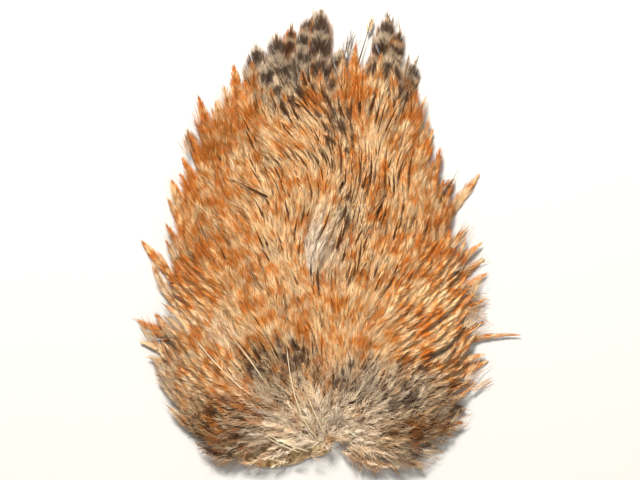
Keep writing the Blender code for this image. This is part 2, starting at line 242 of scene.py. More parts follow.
@dataclass
class PlumeBatch:
    """Collects the strands of many feathers and joins them into one mesh."""

    CROWN_STARTS = 19.0 * MM
    CROWN_SHARE = 0.55
    GROUND_GAP = 0.15 * MM
    FLATNESS = 0.45
    BARB_JITTER = 0.3
    BARBS_IN_LOCK = 4
    LOCKS = 1000
    ANGLE_EASING = 1.5
    LEAST_ANGLE = 4.0
    LONGER_SHARE = 0.3
    LIFT = 0.03
    WAVE_TURNS = (2, 6)
    BARB_BLUNTNESS = 0.4
    PHASE_SCATTER = 0.05
    SHADES = (0.45, 1.25)
    LOCK_TINT = 0.10
    BARB_TINT = 0.08
    LACE_LIMIT = 0.8
    LENGTH_ROUNDS = 14
    BASE_LENGTH = 0.5
    BASE_RISE = 3

    shaft: Strand
    dice: np.random.Generator
    corners: list[np.ndarray] = field(default_factory=list)
    triangles: list[np.ndarray] = field(default_factory=list)
    slots: list[np.ndarray] = field(default_factory=list)
    maps: list[np.ndarray] = field(default_factory=list)
    tones: list[np.ndarray] = field(default_factory=list)
    bar_and_shade_values: list[np.ndarray] = field(default_factory=list)
    count: int = 0

    def keep(
        self,
        strand: Strand,
        places: np.ndarray,
        uv: np.ndarray,
        tone: np.ndarray,
        dice: np.ndarray,
        slot: int,
    ) -> None:
        """Adds laid-out copies of a strand.

        Args:
            strand: the strand that was copied.
            places: corner places, copies by corners by 3.
            uv: the two plumage coordinates of each corner.
            tone: ginger, dark and grey shares of each corner.
            dice: period, phase and lightness of each corner; the lightness is painted light and shade over
                the colour.
            slot: material index of the faces.
        """
        copies, corners = places.shape[:2]
        offsets = self.count + corners * np.arange(copies)
        self.triangles.append((strand.triangles[None] + offsets[:, None, None]).reshape(-1, 3))
        self.slots.append(np.full(copies * len(strand.triangles), slot))
        self.corners.append(places.reshape(-1, 3))
        self.maps.append(uv.reshape(-1, 2))
        self.tones.append(tone.reshape(-1, 3))
        self.bar_and_shade_values.append(dice.reshape(-1, 3))
        self.count += copies * corners

    def add_shaft(self, plume: Plume) -> None:
        """Lays the shaft along the feather's line.

        Args:
            plume: the feather.
        """
        share = self.shaft.share
        place, along, side, up = plume.spine.at(share * plume.spine.length)
        radius = blend(plume.shaft_radius, plume.shaft_tip_radius, share)[:, None]
        rise = plume.shaft_flatness * self.shaft.up[:, None]
        corners = place + radius * (self.shaft.across[:, None] * side + rise * up)
        uv = np.stack([np.zeros_like(share), (1 - share) * plume.spine.length / CM], axis=-1)
        dice = np.tile([plume.period, plume.phase, plume.light], (len(share), 1))
        tone = np.tile(plume.tone, (len(share), 1))
        self.keep(self.shaft, corners[None], uv[None], tone[None], dice[None], 1)

    def add_vane(self, plume: Plume) -> None:
        """Lays the barbs on both sides of the shaft, in locks that lean together.

        Args:
            plume: the feather.
        """
        spine = plume.spine
        reach = spine.length - plume.vane_start
        each = max(3, int(reach / plume.spacing))
        share = np.tile((np.arange(each) + 0.5) / each, 2)
        share = np.clip(share + self.dice.normal(0, self.BARB_JITTER / each, len(share)), 0.0, 1.0)
        sign = np.repeat([-1.0, 1.0], each)
        number = len(share)
        far_side = np.where(sign > 0, 0.0, self.LOCKS / 2)
        locks = (share * each / self.BARBS_IN_LOCK + far_side).astype(int)
        swing = self.dice.normal(0, 1, self.LOCKS)[locks]
        angle = blend(plume.angle, plume.tip_angle, share**self.ANGLE_EASING) + plume.clump * swing
        angle = angle + self.dice.normal(0, plume.scatter, number)
        angle = np.radians(np.maximum(angle, self.LEAST_ANGLE))
        curl = math.radians(plume.curl)
        chord = np.maximum(angle - curl / 2, math.radians(self.LEAST_ANGLE))
        length = self.barb_lengths(plume, share, chord, reach)
        longest = 1 + self.LONGER_SHARE * plume.ragged
        length = length * self.dice.uniform(1 - plume.ragged, longest, number)
        place, along, side, up = spine.at(plume.vane_start + share * reach)
        lift = self.dice.normal(0, self.LIFT, number)
        corner = plume.barb.share[None, :]
        facing = angle[:, None] - curl * corner
        middle = angle[:, None] - curl * corner / 2
        if plume.wave:
            beat = self.dice.uniform(0, 2 * math.pi, (number, 1))
            turns = self.dice.uniform(*self.WAVE_TURNS, (number, 1))
            middle = middle + plume.wave * (np.sin(corner * turns + beat) - np.sin(beat))
        step = length[:, None] * corner
        out = sign[:, None] * np.sin(middle) * step
        ahead = np.cos(middle) * step
        rise = length[:, None] * (lift[:, None] * corner - plume.droop * corner**2)
        radius = plume.barb_width / 2 * (1 - corner) ** self.BARB_BLUNTNESS
        flat_side = sign[:, None] * np.cos(facing) * plume.barb.across * radius
        flat_along = -np.sin(facing) * plume.barb.across * radius
        places = (
            place[:, None]
            + side[:, None] * (out + flat_side)[..., None]
            + along[:, None] * (ahead + flat_along)[..., None]
            + up[:, None] * (rise + self.FLATNESS * radius * plume.barb.up)[..., None]
        )
        from_tip = (1 - share[:, None]) * reach + plume.overhang - ahead
        across = np.broadcast_to(corner, from_tip.shape)
        uv = np.stack([across, from_tip / CM], axis=-1)
        tint = self.dice.normal(0, 1, self.LOCKS)[locks]
        dice = np.empty((*from_tip.shape, 3))
        dice[..., 0] = plume.period
        slip = tint + self.dice.normal(0, 1, number)
        dice[..., 1] = plume.phase + self.PHASE_SCATTER * slip[:, None]
        # Barb lightness, swung by lock and at random: partly random tone, partly painted highlights and
        # painted shade between strands.
        spread = plume.shade_range
        shade = (1 + plume.streak * swing) * self.dice.uniform(1 - spread, 1 + spread, number)
        dice[..., 2] = (plume.light * np.clip(shade, *self.SHADES))[:, None]
        tone = np.tile(plume.tone, (*from_tip.shape, 1))
        tone[..., 0] += (self.LOCK_TINT * tint + self.dice.normal(0, self.BARB_TINT, number))[:, None]
        edge = plume.lace * corner**2
        tone[..., 0] += edge
        tone[..., 2] *= 1 - np.minimum(edge, self.LACE_LIMIT)
        self.keep(plume.barb, places, uv, tone, dice, 0)

    @classmethod
    def barb_lengths(
        cls, plume: Plume, share: np.ndarray, angle: np.ndarray, reach: float
    ) -> np.ndarray:
        """Finds how long each barb is for its tip to lie on the vane's outline.

        Args:
            plume: the feather.
            share: where each barb leaves the shaft, from the vane's start to the shaft's tip.
            angle: each barb's angle to the shaft, in radians.
            reach: length of the vane along the shaft.

        Returns:
            The lengths, in metres.
        """
        behind = (1 - share) * reach + plume.overhang
        length = np.full(len(share), plume.overhang)
        for _ in range(cls.LENGTH_ROUNDS):
            left = np.clip((behind - length * np.cos(angle)) / plume.taper, 0.0, 1.0)
            aimed = plume.half_width * left**plume.bluntness / np.sin(angle)
            length = (length + np.minimum(aimed, plume.longest)) / 2
        return length * np.clip(cls.BASE_LENGTH + share * cls.BASE_RISE, 0, 1)

    def add(self, plume: Plume) -> None:
        """Lays out one whole feather."""
        self.add_shaft(plume)
        self.add_vane(plume)

    def build(self, name: str, materials: Sequence[bpy.types.Material]) -> bpy.types.Object:
        """Joins everything that was laid out into one object.

        Args:
            name: the piece's name.
            materials: finish of the barbs and finish of the shafts.

        Returns:
            The new object, at the origin.
        """
        corners = np.concatenate(self.corners)
        height = corners[:, 2]
        height = height - (1 - self.CROWN_SHARE) * np.maximum(height - self.CROWN_STARTS, 0.0)
        corners[:, 2] = np.maximum(height, self.GROUND_GAP)
        corners = corners.astype(np.float32)
        triangles = np.concatenate(self.triangles).astype(np.int32)
        mesh = bpy.data.meshes.new(name)
        mesh.vertices.add(len(corners))
        mesh.vertices.foreach_set("co", corners.ravel())
        mesh.loops.add(triangles.size)
        mesh.loops.foreach_set("vertex_index", triangles.ravel())
        mesh.polygons.add(len(triangles))
        mesh.polygons.foreach_set("loop_start", np.arange(0, triangles.size, 3, dtype=np.int32))
        mesh.polygons.foreach_set("material_index", np.concatenate(self.slots).astype(np.int32))
        mesh.update(calc_edges=True)
        uv = np.concatenate(self.maps).astype(np.float32)
        layer = mesh.uv_layers.new(name=UV_NAME)
        layer.uv.foreach_set("vector", uv[triangles.ravel()].ravel())
        for label, values in ((TONE_NAME, self.tones), (BAR_AND_SHADE_NAME, self.bar_and_shade_values)):
            attribute = mesh.attributes.new(label, "FLOAT_VECTOR", "POINT")
            attribute.data.foreach_set("vector", np.concatenate(values).astype(np.float32).ravel())
        for material in materials:
            mesh.materials.append(material)
        made = bpy.data.objects.new(name, mesh)
        bpy.context.scene.collection.objects.link(made)
        LOG.info("%s: %d triangles", name, len(triangles))
        return made


class ShaderTree:
    """A short way to add and join shader nodes."""

    def __init__(self, tree: bpy.types.NodeTree) -> None:
        """Works in one node tree."""
        self.tree = tree

    def add(self, kind: str, inputs: dict | None = None, **settings: object) -> bpy.types.Node:
        """Adds a node.

        Args:
            kind: the node's type name without its ShaderNode prefix.
            inputs: values or outputs for its input sockets, by name or number.
            settings: the node's own properties.

        Returns:
            The new node.
        """
        node = self.tree.nodes.new("ShaderNode" + kind)
        for key, value in settings.items():
            setattr(node, key, value)
        for key, value in (inputs or {}).items():
            if isinstance(value, bpy.types.NodeSocket):
                self.tree.links.new(value, node.inputs[key])
            else:
                node.inputs[key].default_value = value
        return node

    def join(self, output: bpy.types.NodeSocket, target: bpy.types.NodeSocket) -> None:
        """Links an output to an input."""
        self.tree.links.new(output, target)

    def math(self, operation: str, first: object, second: object) -> bpy.types.NodeSocket:
        """Adds a Math node and returns its output."""
        return self.add("Math", {0: first, 1: second}, operation=operation).outputs[0]

    def ramp(
        self, value: object, low: float, high: float, to_low: float = 0.0, to_high: float = 1.0
    ) -> bpy.types.NodeSocket:
        """Maps a value smoothly from one range to another and returns the output."""
        inputs = {0: value, 1: low, 2: high, 3: to_low, 4: to_high}
        return self.add("MapRange", inputs, interpolation_type="SMOOTHSTEP").outputs[0]

    def mix(self, share: object, first: object, second: object) -> bpy.types.NodeSocket:
        """Mixes two colours and returns the output."""
        node = self.add("Mix", {0: share, 6: first, 7: second}, data_type="RGBA")
        return node.outputs[2]

    def noise(self, spot: object, scale: float, detail: float) -> bpy.types.NodeSocket:
        """Adds a noise over places and returns its strength."""
        return self.add("TexNoise", {"Vector": spot, "Scale": scale, "Detail": detail}).outputs[0]

    def split(self, vector: object) -> Sequence[bpy.types.NodeSocket]:
        """Splits a vector and returns its three parts."""
        return self.add("SeparateXYZ", {0: vector}).outputs

    def attribute(self, name: str) -> Sequence[bpy.types.NodeSocket]:
        """Reads a vector attribute and returns its three parts."""
        return self.split(self.add("Attribute", attribute_name=name).outputs["Vector"])


@dataclass(frozen=True)
class Finish:
    """What every finish has: its name, and a material to start from."""

    name: str

    def start(self) -> tuple[bpy.types.Material, ShaderTree, bpy.types.NodeInputs]:
        """Starts the material.

        Returns:
            The material, its node tree and the inputs of its shader.
        """
        made = bpy.data.materials.new(self.name)
        made.use_nodes = True
        return made, ShaderTree(made.node_tree), made.node_tree.nodes["Principled BSDF"].inputs


class PlumagePattern:
    """The barred plumage colouring with painted light and shade multiplied in, as a node group that every
    feather finish shares.
    """

    NAME = "barred_plumage"
    CREAM = (0.82, 0.55, 0.29, 1.0)
    TAN = (0.66, 0.28, 0.065, 1.0)
    GINGER = (0.56, 0.165, 0.022, 1.0)
    PALE_GREY = (0.74, 0.62, 0.48, 1.0)
    GREY_BROWN = (0.28, 0.185, 0.12, 1.0)
    DARK = (0.050, 0.022, 0.010, 1.0)
    DARK_GREY = (0.115, 0.074, 0.052, 1.0)
    INPUTS = ("Across", "Along", "Ginger", "Dark", "Grey", "Period", "Phase", "Light", "Mottle", "Blotch")
    BAR_SLANT = -0.15
    BAR_WANDER = 0.8
    BAR_DEPTH = 0.34
    BLOTCH_DEPTH = 2.2
    CALM_IN_GREY = (0.6, 1.0, 1.0, 0.3)
    GINGER_OVER_TAN = (0.5, 1.3)
    GREY_OVER_WARM = (0.2, 0.9)
    WARM_OVER_PALE = (0.0, 1.0)
    FULLY_DARK = (0.55, 0.9)
    MARK_REACH = (0.0, 1.0, 0.13, 0.93)
    MARK_LIMIT = (0.0, 1.0, -1.8, -0.1)
    MARK_EDGE = (-0.75, 0.75)
    MARK_SIDE = (-0.03, 0.10)
    CLEAR_TIP = (0.05, 0.25)
    DARK_REACH = 4.0
    MARKS_END = (0.9, 1.5, 1.0, 0.0)
    MARK_STRENGTH = (0.25, 0.45, 0.0, 0.9)
    ROUGHNESS = (0.2, 0.8, 0.32, 0.5)

    @classmethod
    def group(cls) -> bpy.types.NodeTree:
        """Builds the group at its first use.

        Returns:
            The node group, with Color and Roughness outputs.
        """
        if cls.NAME in bpy.data.node_groups:
            return bpy.data.node_groups[cls.NAME]
        tree = bpy.data.node_groups.new(cls.NAME, "ShaderNodeTree")
        for name in cls.INPUTS:
            tree.interface.new_socket(name, in_out="INPUT", socket_type="NodeSocketFloat")
        tree.interface.new_socket("Color", in_out="OUTPUT", socket_type="NodeSocketColor")
        tree.interface.new_socket("Roughness", in_out="OUTPUT", socket_type="NodeSocketFloat")
        source = tree.nodes.new("NodeGroupInput").outputs
        target = tree.nodes.new("NodeGroupOutput").inputs
        draw = ShaderTree(tree)
        wave = cls.bars(draw, source)
        full = draw.ramp(source["Dark"], *cls.FULLY_DARK)
        colour = cls.ground(draw, source, wave)
        dark = draw.mix(source["Grey"], cls.DARK, cls.DARK_GREY)
        colour = draw.mix(cls.marks(draw, source, wave, full), colour, dark)
        # Painted light and shade: the colour is multiplied by the Light input.
        grey = draw.add("CombineColor", {index: source["Light"] for index in range(3)}).outputs[0]
        lit = draw.add(
            "Mix", {0: 1.0, 6: colour, 7: grey}, data_type="RGBA", blend_type="MULTIPLY", clamp_result=True
        )
        draw.join(lit.outputs[2], target["Color"])
        draw.join(draw.ramp(source["Mottle"], *cls.ROUGHNESS), target["Roughness"])
        return tree

    @classmethod
    def bars(cls, draw: ShaderTree, source: bpy.types.NodeOutputs) -> bpy.types.NodeSocket:
        """Draws the bars across the vane.

        Args:
            draw: the group's node tree.
            source: the group's inputs.

        Returns:
            A wave from -1 to 1 that runs down the feather, slanted along its barbs.
        """
        mottle = draw.math("SUBTRACT", source["Mottle"], 0.5)
        beat = draw.math("DIVIDE", source["Along"], source["Period"])
        beat = draw.math("ADD", beat, source["Phase"])
        beat = draw.math("ADD", beat, draw.math("MULTIPLY", source["Across"], cls.BAR_SLANT))
        beat = draw.math("ADD", beat, draw.math("MULTIPLY", mottle, cls.BAR_WANDER))
        return draw.math("COSINE", draw.math("MULTIPLY", beat, 2 * math.pi), 0.0)

    @classmethod
    def ground(
        cls, draw: ShaderTree, source: bpy.types.NodeOutputs, wave: bpy.types.NodeSocket
    ) -> bpy.types.NodeSocket:
        """Mixes the feather's colour without its dark marks.

        Args:
            draw: the group's node tree.
            source: the group's inputs.
            wave: the bars.

        Returns:
            The colour.
        """
        blotch = draw.math("SUBTRACT", source["Blotch"], 0.5)
        blotch = draw.math("MULTIPLY", blotch, cls.BLOTCH_DEPTH)
        swing = draw.math("ADD", blotch, draw.math("MULTIPLY", wave, cls.BAR_DEPTH))
        swing = draw.math("MULTIPLY", swing, draw.ramp(source["Grey"], *cls.CALM_IN_GREY))
        warmth = draw.math("ADD", source["Ginger"], swing)
        pale = draw.mix(source["Grey"], cls.CREAM, cls.PALE_GREY)
        warm = draw.mix(draw.ramp(warmth, *cls.GINGER_OVER_TAN), cls.TAN, cls.GINGER)
        warm = draw.mix(draw.ramp(source["Grey"], *cls.GREY_OVER_WARM), warm, cls.GREY_BROWN)
        return draw.mix(draw.ramp(warmth, *cls.WARM_OVER_PALE), pale, warm)

    @classmethod
    def marks(
        cls,
        draw: ShaderTree,
        source: bpy.types.NodeOutputs,
        wave: bpy.types.NodeSocket,
        full: bpy.types.NodeSocket,
    ) -> bpy.types.NodeSocket:
        """Draws the dark marks: a streak along the shaft of a mottled feather, bars on a dark one.

        Args:
            draw: the group's node tree.
            source: the group's inputs.
            wave: the bars.
            full: how far the feather is dark all over, from 0 to 1.

        Returns:
            The marks' strength.
        """
        inside = draw.math("SUBTRACT", draw.ramp(full, *cls.MARK_REACH), source["Across"])
        marks = draw.math("SUBTRACT", wave, draw.ramp(full, *cls.MARK_LIMIT))
        marks = draw.ramp(marks, *cls.MARK_EDGE)
        marks = draw.math("MULTIPLY", marks, draw.ramp(inside, *cls.MARK_SIDE))
        marks = draw.math("MULTIPLY", marks, draw.ramp(source["Along"], *cls.CLEAR_TIP))
        near = draw.math("SUBTRACT", source["Along"], draw.math("MULTIPLY", full, cls.DARK_REACH))
        marks = draw.math("MULTIPLY", marks, draw.ramp(near, *cls.MARKS_END))
        return draw.math("MULTIPLY", marks, draw.ramp(source["Dark"], *cls.MARK_STRENGTH))


@dataclass(frozen=True)
class FeatherFinish(Finish):
    """Finish of feather barbs: satin, barred, with a thin sheen."""

    specular: float = 0.24
    sheen: float = 0.01
    sheen_roughness: float = 0.4
    mottle_scale: float = 240.0
    mottle_detail: float = 3.0
    blotch_scale: float = 88.0
    blotch_detail: float = 1.5

    def material(self) -> bpy.types.Material:
        """Builds the material from the shared plumage pattern.

        Returns:
            The material.
        """
        made, draw, shader = self.start()
        spot = draw.add("TexCoord").outputs["Object"]
        place = draw.split(draw.add("UVMap", uv_map=UV_NAME).outputs[0])
        mottle = draw.noise(spot, self.mottle_scale, self.mottle_detail)
        blotch = draw.noise(spot, self.blotch_scale, self.blotch_detail)
        sources = (*place[:2], *draw.attribute(TONE_NAME), *draw.attribute(BAR_AND_SHADE_NAME), mottle, blotch)
        pattern = made.node_tree.nodes.new("ShaderNodeGroup")
        pattern.node_tree = PlumagePattern.group()
        for name, socket in zip(PlumagePattern.INPUTS, sources, strict=True):
            draw.join(socket, pattern.inputs[name])
        draw.join(pattern.outputs["Color"], shader["Base Color"])
        draw.join(pattern.outputs["Roughness"], shader["Roughness"])
        shader["Specular IOR Level"].default_value = self.specular
        shader["Sheen Weight"].default_value = self.sheen
        shader["Sheen Roughness"].default_value = self.sheen_roughness
        return made


@dataclass(frozen=True)
class ShaftFinish(Finish):
    """Finish of bare shafts: horn with paler flecks, stained dark on the dark feathers."""

    root_colour: Colour = (0.36, 0.19, 0.08, 1.0)
    tip_colour: Colour = (0.43, 0.21, 0.08, 1.0)
    stain: Colour = (0.062, 0.023, 0.008, 1.0)
    fleck: Colour = (0.9, 0.82, 0.66, 1.0)
    fleck_share: float = 0.25
    roughness: float = 0.5
    specular: float = 0.08

    ROOT_FROM_TIP = (0.8, 3.0)
    STAINED = (0.25, 0.42)
    FLECK_SCALE = 900.0
    FLECK_DETAIL = 2.0

    def material(self) -> bpy.types.Material:
        """Builds the material.

        Returns:
            The material.
        """
        made, draw, shader = self.start()
        spot = draw.add("TexCoord").outputs["Object"]
        along = draw.split(draw.add("UVMap", uv_map=UV_NAME).outputs[0])[1]
        noise = draw.noise(spot, self.FLECK_SCALE, self.FLECK_DETAIL)
        colour = draw.mix(draw.ramp(along, *self.ROOT_FROM_TIP), self.tip_colour, self.root_colour)
        colour = draw.mix(draw.math("MULTIPLY", noise, self.fleck_share), colour, self.fleck)
        dark = draw.attribute(TONE_NAME)[1]
        colour = draw.mix(draw.ramp(dark, *self.STAINED), colour, self.stain)
        rough = draw.ramp(noise, 0.3, 0.7, self.roughness - 0.05, self.roughness + 0.1)
        draw.join(colour, shader["Base Color"])
        draw.join(rough, shader["Roughness"])
        shader["Specular IOR Level"].default_value = self.specular
        return made


@dataclass(frozen=True)
class GroundFinish(Finish):
    """Finish of broad surfaces that noise breaks up: the dried skin and the matted under-down, whose dark
    colours are partly painted shade.
    """

    low: Colour
    high: Colour
    scale: float
    roughness: float
    front: Colour | None = None

    FRONT_OVER = (-8.0 * MM, -30.0 * MM)
    COLOUR_OVER = (0.35, 0.65)
    FINER = 7
    COARSE_DETAIL = 5.0
    FINE_DETAIL = 3.0
    FINE_HEIGHT = 0.5
    RELIEF = 0.4 * MM
    ROUGHNESS_SWING = 0.08

    def material(self) -> bpy.types.Material:
        """Builds the material.

        Returns:
            The material.
        """
        made, draw, shader = self.start()
        spot = draw.add("TexCoord").outputs["Object"]
        coarse = draw.noise(spot, self.scale, self.COARSE_DETAIL)
        fine = draw.noise(spot, self.scale * self.FINER, self.FINE_DETAIL)
        colour = draw.mix(draw.ramp(coarse, *self.COLOUR_OVER), self.low, self.high)
        if self.front:
            colour = draw.mix(draw.ramp(draw.split(spot)[1], *self.FRONT_OVER), colour, self.front)
        height = draw.math("ADD", coarse, draw.math("MULTIPLY", fine, self.FINE_HEIGHT))
        bump = draw.add("Bump", {"Strength": 1.0, "Distance": self.RELIEF, "Height": height})
        smoothest, roughest = self.roughness - self.ROUGHNESS_SWING, self.roughness + self.ROUGHNESS_SWING
        draw.join(colour, shader["Base Color"])
        draw.join(bump.outputs[0], shader["Normal"])
        draw.join(draw.ramp(fine, 0.3, 0.7, smoothest, roughest), shader["Roughness"])
        return made


@dataclass
class CoatSurface:
    """Height of the coat over the ground, read from the coat's solid and eased past its rim."""

    node: str = "feather_coat"
    step: float = 2.0 * MM
    margin: float = 30.0 * MM
    fall: float = 1.1 * MM
    lowest: float = 1.0 * MM
    passes: int = 2
    fringe: int = 2
    tail_fringe: int = 1
    tail_starts: float = 22.0 * MM

    RAY_HEIGHT = 1.0
    EMPTY = -1.0
    KNOWN = -0.5
    INSET = 1.001

    def __post_init__(self) -> None:
        """Samples the solid from above on a grid."""
        low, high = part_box(self.node)
        solid = bpy.data.objects[self.node].data
        tree = BVHTree.FromPolygons([v.co for v in solid.vertices], [p.vertices[:] for p in solid.polygons])
        self.start = np.array([low.x - self.margin, low.y - self.margin])
        cells = np.ceil((np.array([high.x, high.y]) + self.margin - self.start) / self.step).astype(int) + 1
        heights = np.full(cells, np.nan)
        for i in range(cells[0]):
            for j in range(cells[1]):
                above = Vector((*(self.start + self.step * np.array([i, j])), self.RAY_HEIGHT))
                hit = tree.ray_cast(above, Vector((0, 0, -1)))[0]
                if hit is not None:
                    heights[i, j] = hit.z
        inside = ~np.isnan(heights)
        tail = self.start[1] + self.step * np.arange(cells[1]) > self.tail_starts
        self.near = np.where(tail, self.grown(inside, self.tail_fringe), self.grown(inside, self.fringe))
        heights = np.where(inside, heights, self.EMPTY)
        for _ in range(int(self.margin / self.step)):
            padded = np.pad(heights, 1, mode="edge")
            sides = (padded[2:, 1:-1], padded[:-2, 1:-1], padded[1:-1, 2:], padded[1:-1, :-2])
            nearby = np.max(sides, axis=0) - self.fall
            nearby = np.where(nearby > self.KNOWN, np.maximum(nearby, self.lowest), self.EMPTY)
            heights = np.where(heights < 0, nearby, heights)
        heights = np.maximum(heights, self.lowest)
        for _ in range(self.passes):
            padded = np.pad(heights, 1, mode="edge")
            rows = (padded[2:] + padded[1:-1] + padded[:-2]) / 3
            heights = (rows[:, 2:] + rows[:, 1:-1] + rows[:, :-2]) / 3
        self.heights = heights

    @staticmethod
    def grown(mask: np.ndarray, cells: int) -> np.ndarray:
        """Widens a mask.

        Args:
            mask: the cells that are set.
            cells: how many cells it grows by.

        Returns:
            The wider mask.
        """
        for _ in range(cells):
            padded = np.pad(mask, 1)
            aside = padded[2:, 1:-1] | padded[:-2, 1:-1]
            mask = padded[1:-1, 1:-1] | aside | padded[1:-1, 2:] | padded[1:-1, :-2]
        return mask

    def height(self, x: np.ndarray, y: np.ndarray) -> np.ndarray:
        """Reads the coat's height between the samples.

        Args:
            x: places across, in metres.
            y: places along, in metres.

        Returns:
            The heights, in metres.
        """
        place = (np.stack([x, y], axis=-1) - self.start) / self.step
        limit = np.array(self.heights.shape) - self.INSET
        place = np.clip(place, 0, limit)
        base = place.astype(int)
        part = place - base
        i, j = base[..., 0], base[..., 1]
        u, v = part[..., 0], part[..., 1]
        grid = self.heights
        near = grid[i, j] * (1 - u) + grid[i + 1, j] * u
        far = grid[i, j + 1] * (1 - u) + grid[i + 1, j + 1] * u
        return near * (1 - v) + far * v

    def covers(self, x: float, y: float) -> bool:
        """Whether the solid, or the fringe round it, lies over a place."""
        cell = np.round((np.array([x, y]) - self.start) / self.step).astype(int)
        return bool(self.near[tuple(np.clip(cell, 0, np.array(self.near.shape) - 1))])


class Flow:
    """The way the feathers lie: fanned out from the front of the patch and combed to the tail."""

    CENTRE = np.array([3.0, -56.0]) * MM
    GATHER = 0.4
    GATHER_OVER = (0.0, 130.0 * MM)
    WANDER = math.radians(9.0)
    RIPPLE_ACROSS = 13 * MM
    RIPPLE_ALONG = 17 * MM
    RIPPLE_SLANT = 8 * MM
    RIPPLE_START = 1.3
    SLANT_SHARE = 0.6
    SWIRLS = (
        (-15.0, 97.0, 20.0, 42.0),
        (-34.0, 70.0, 9.0, 24.0),
        (-56.0, 92.0, 28.0, 11.0),
        (-56.0, 18.0, 18.0, 15.0),
        (2.0, 50.0, 14.0, -16.0),
        (28.0, 45.0, 22.0, -7.0),
        (45.0, 10.0, 22.0, -13.0),
        (-77.0, -18.0, 22.0, -26.0),
        (-52.0, -28.0, 12.0, 12.0),
        (-58.0, -42.0, 15.0, -26.0),
    )

    @classmethod
    def heading(cls, x: float, y: float) -> np.ndarray:
        """Finds which way the feathers lie.

        Args:
            x: place across, in metres.
            y: place along, in metres.

        Returns:
            A flat direction of length 1.
        """
        gather = 1 - cls.GATHER * float(smooth(np.array(y), *cls.GATHER_OVER))
        way = np.array([(x - cls.CENTRE[0]) * gather, y - cls.CENTRE[1]])
        ripple = math.sin(x / cls.RIPPLE_ACROSS + cls.RIPPLE_START) * math.cos(y / cls.RIPPLE_ALONG)
        ripple += cls.SLANT_SHARE * math.sin((x + y) / cls.RIPPLE_SLANT)
        turn = cls.WANDER * ripple
        for across, along, radius, degrees in cls.SWIRLS:
            far = math.hypot(x / MM - across, y / MM - along) / radius
            turn += math.radians(degrees) * math.exp(-far * far)
        way = turned(way, turn)
        return way / max(float(np.linalg.norm(way)), TINY)


@dataclass(frozen=True)
class Patch:
    """A soft-edged patch of the pelt whose feathers share a colouring and a painted light; places in
    millimetres.
    """

    x: float
    y: float
    width: float
    height: float
    ginger: float
    dark: float
    grey: float
    light: float = 1.0

    EDGE = 1.5

    def weight(self, x: float, y: float) -> float:
        """Finds how far a place belongs to the patch.

        Args:
            x: place across, in metres.
            y: place along, in metres.

        Returns:
            A share from 0 to 1.
        """
        across = (x / MM - self.x) / self.width
        along = (y / MM - self.y) / self.height
        return math.exp(-((across * across + along * along) ** self.EDGE))


class Pelt:
    """Colouring of the whole pelt: ginger flanks, cream middle, dark tail and pale front, with painted light
    and shade on some patches.
    """

    BASE = (0.58, 0.17, 0.05, 1.0)
    # Each patch's last value is its light: partly its own tone, partly painted light and shade; the darker
    # left flank and the lighter lower right flank and front middle even out the key light and the shade
    # between feathers.
    PATCHES = (
        Patch(-64, 55, 30, 75, 0.93, 0.08, 0.00, 0.88),
        Patch(66, 40, 24, 75, 0.88, 0.12, 0.00, 0.92),
        Patch(4, 92, 36, 40, 0.55, 0.45, 0.06, 1.04),
        Patch(-21, 88, 14, 17, 0.28, 0.32, 0.14, 1.02),
        Patch(5, 110, 14, 20, 0.38, 0.95, 0.34, 0.84),
        Patch(-52, 110, 18, 22, 0.95, 0.12, 0.00, 0.76),
        Patch(-13, 140, 31, 22, 0.25, 0.95, 0.65, 0.62),
        Patch(44, 142, 15, 22, 0.38, 0.90, 0.44, 0.60),
        Patch(-37, 121, 9, 15, 0.85, 0.30, 0.10, 0.92),
        Patch(-6, 126, 8, 9, 0.85, 0.55, 0.10, 0.92),
        Patch(12, 124, 8, 11, 0.80, 0.50, 0.15, 0.92),
        Patch(25, 128, 13, 12, 0.75, 0.40, 0.10, 1.0),
        Patch(-14, 68, 28, 36, 0.48, 0.40, 0.00, 0.94),
        Patch(28, 60, 22, 42, 0.52, 0.46, 0.03),
        Patch(12, 62, 8, 13, 0.35, 0.72, 0.34, 0.82),
        Patch(2, 46, 10, 17, 0.10, 0.30, 0.66, 0.92),
        Patch(0, 49, 6, 12, 0.00, 0.12, 0.95, 1.14),
        Patch(5, 8, 34, 20, 0.74, 0.12, 0.00, 0.93),
        Patch(60, 14, 24, 24, 0.50, 0.04, 0.02, 1.10),
        Patch(-52, 16, 24, 18, 0.84, 0.12, 0.00, 0.90),
        Patch(-56, 4, 12, 10, 0.28, 0.10, 0.38, 0.98),
        Patch(4, -54, 78, 30, 0.16, 0.30, 0.80, 0.90),
        Patch(-50, -38, 20, 14, 0.42, 0.40, 0.55, 0.9),
        Patch(54, -32, 22, 13, 0.35, 0.65, 0.50, 0.78),
        Patch(-34, -8, 10, 10, 0.45, 1.00, 0.12, 0.52),
        Patch(-14, -8, 14, 13, 0.30, 1.00, 0.25, 0.54),
        Patch(-26, -20, 16, 9, 0.38, 0.85, 0.34, 0.65),
        Patch(56, -52, 26, 22, 0.42, 0.74, 0.30, 0.48),
        Patch(-56, -54, 30, 18, 0.50, 0.68, 0.28, 0.43),
        Patch(26, -22, 30, 12, 0.14, 0.95, 0.60, 0.73),
        Patch(-80, -14, 13, 24, 0.30, 0.15, 0.45, 0.88),
        Patch(-60, -40, 12, 10, 0.70, 0.85, 0.15, 0.66),
        Patch(0, -54, 36, 22, 0.00, 0.00, 0.90, 1.32),
    )

    @classmethod
    def tone(cls, x: float, y: float) -> np.ndarray:
        """Mixes the patches at a place.

        Args:
            x: place across, in metres.
            y: place along, in metres.

        Returns:
            Ginger, dark, grey and light there; the light is partly the patch's own paleness and partly
            painted light and shade.
        """
        value = np.array(cls.BASE)
        for patch in cls.PATCHES:
            share = patch.weight(x, y)
            value = value + (np.array([patch.ginger, patch.dark, patch.grey, patch.light]) - value) * share
        return value


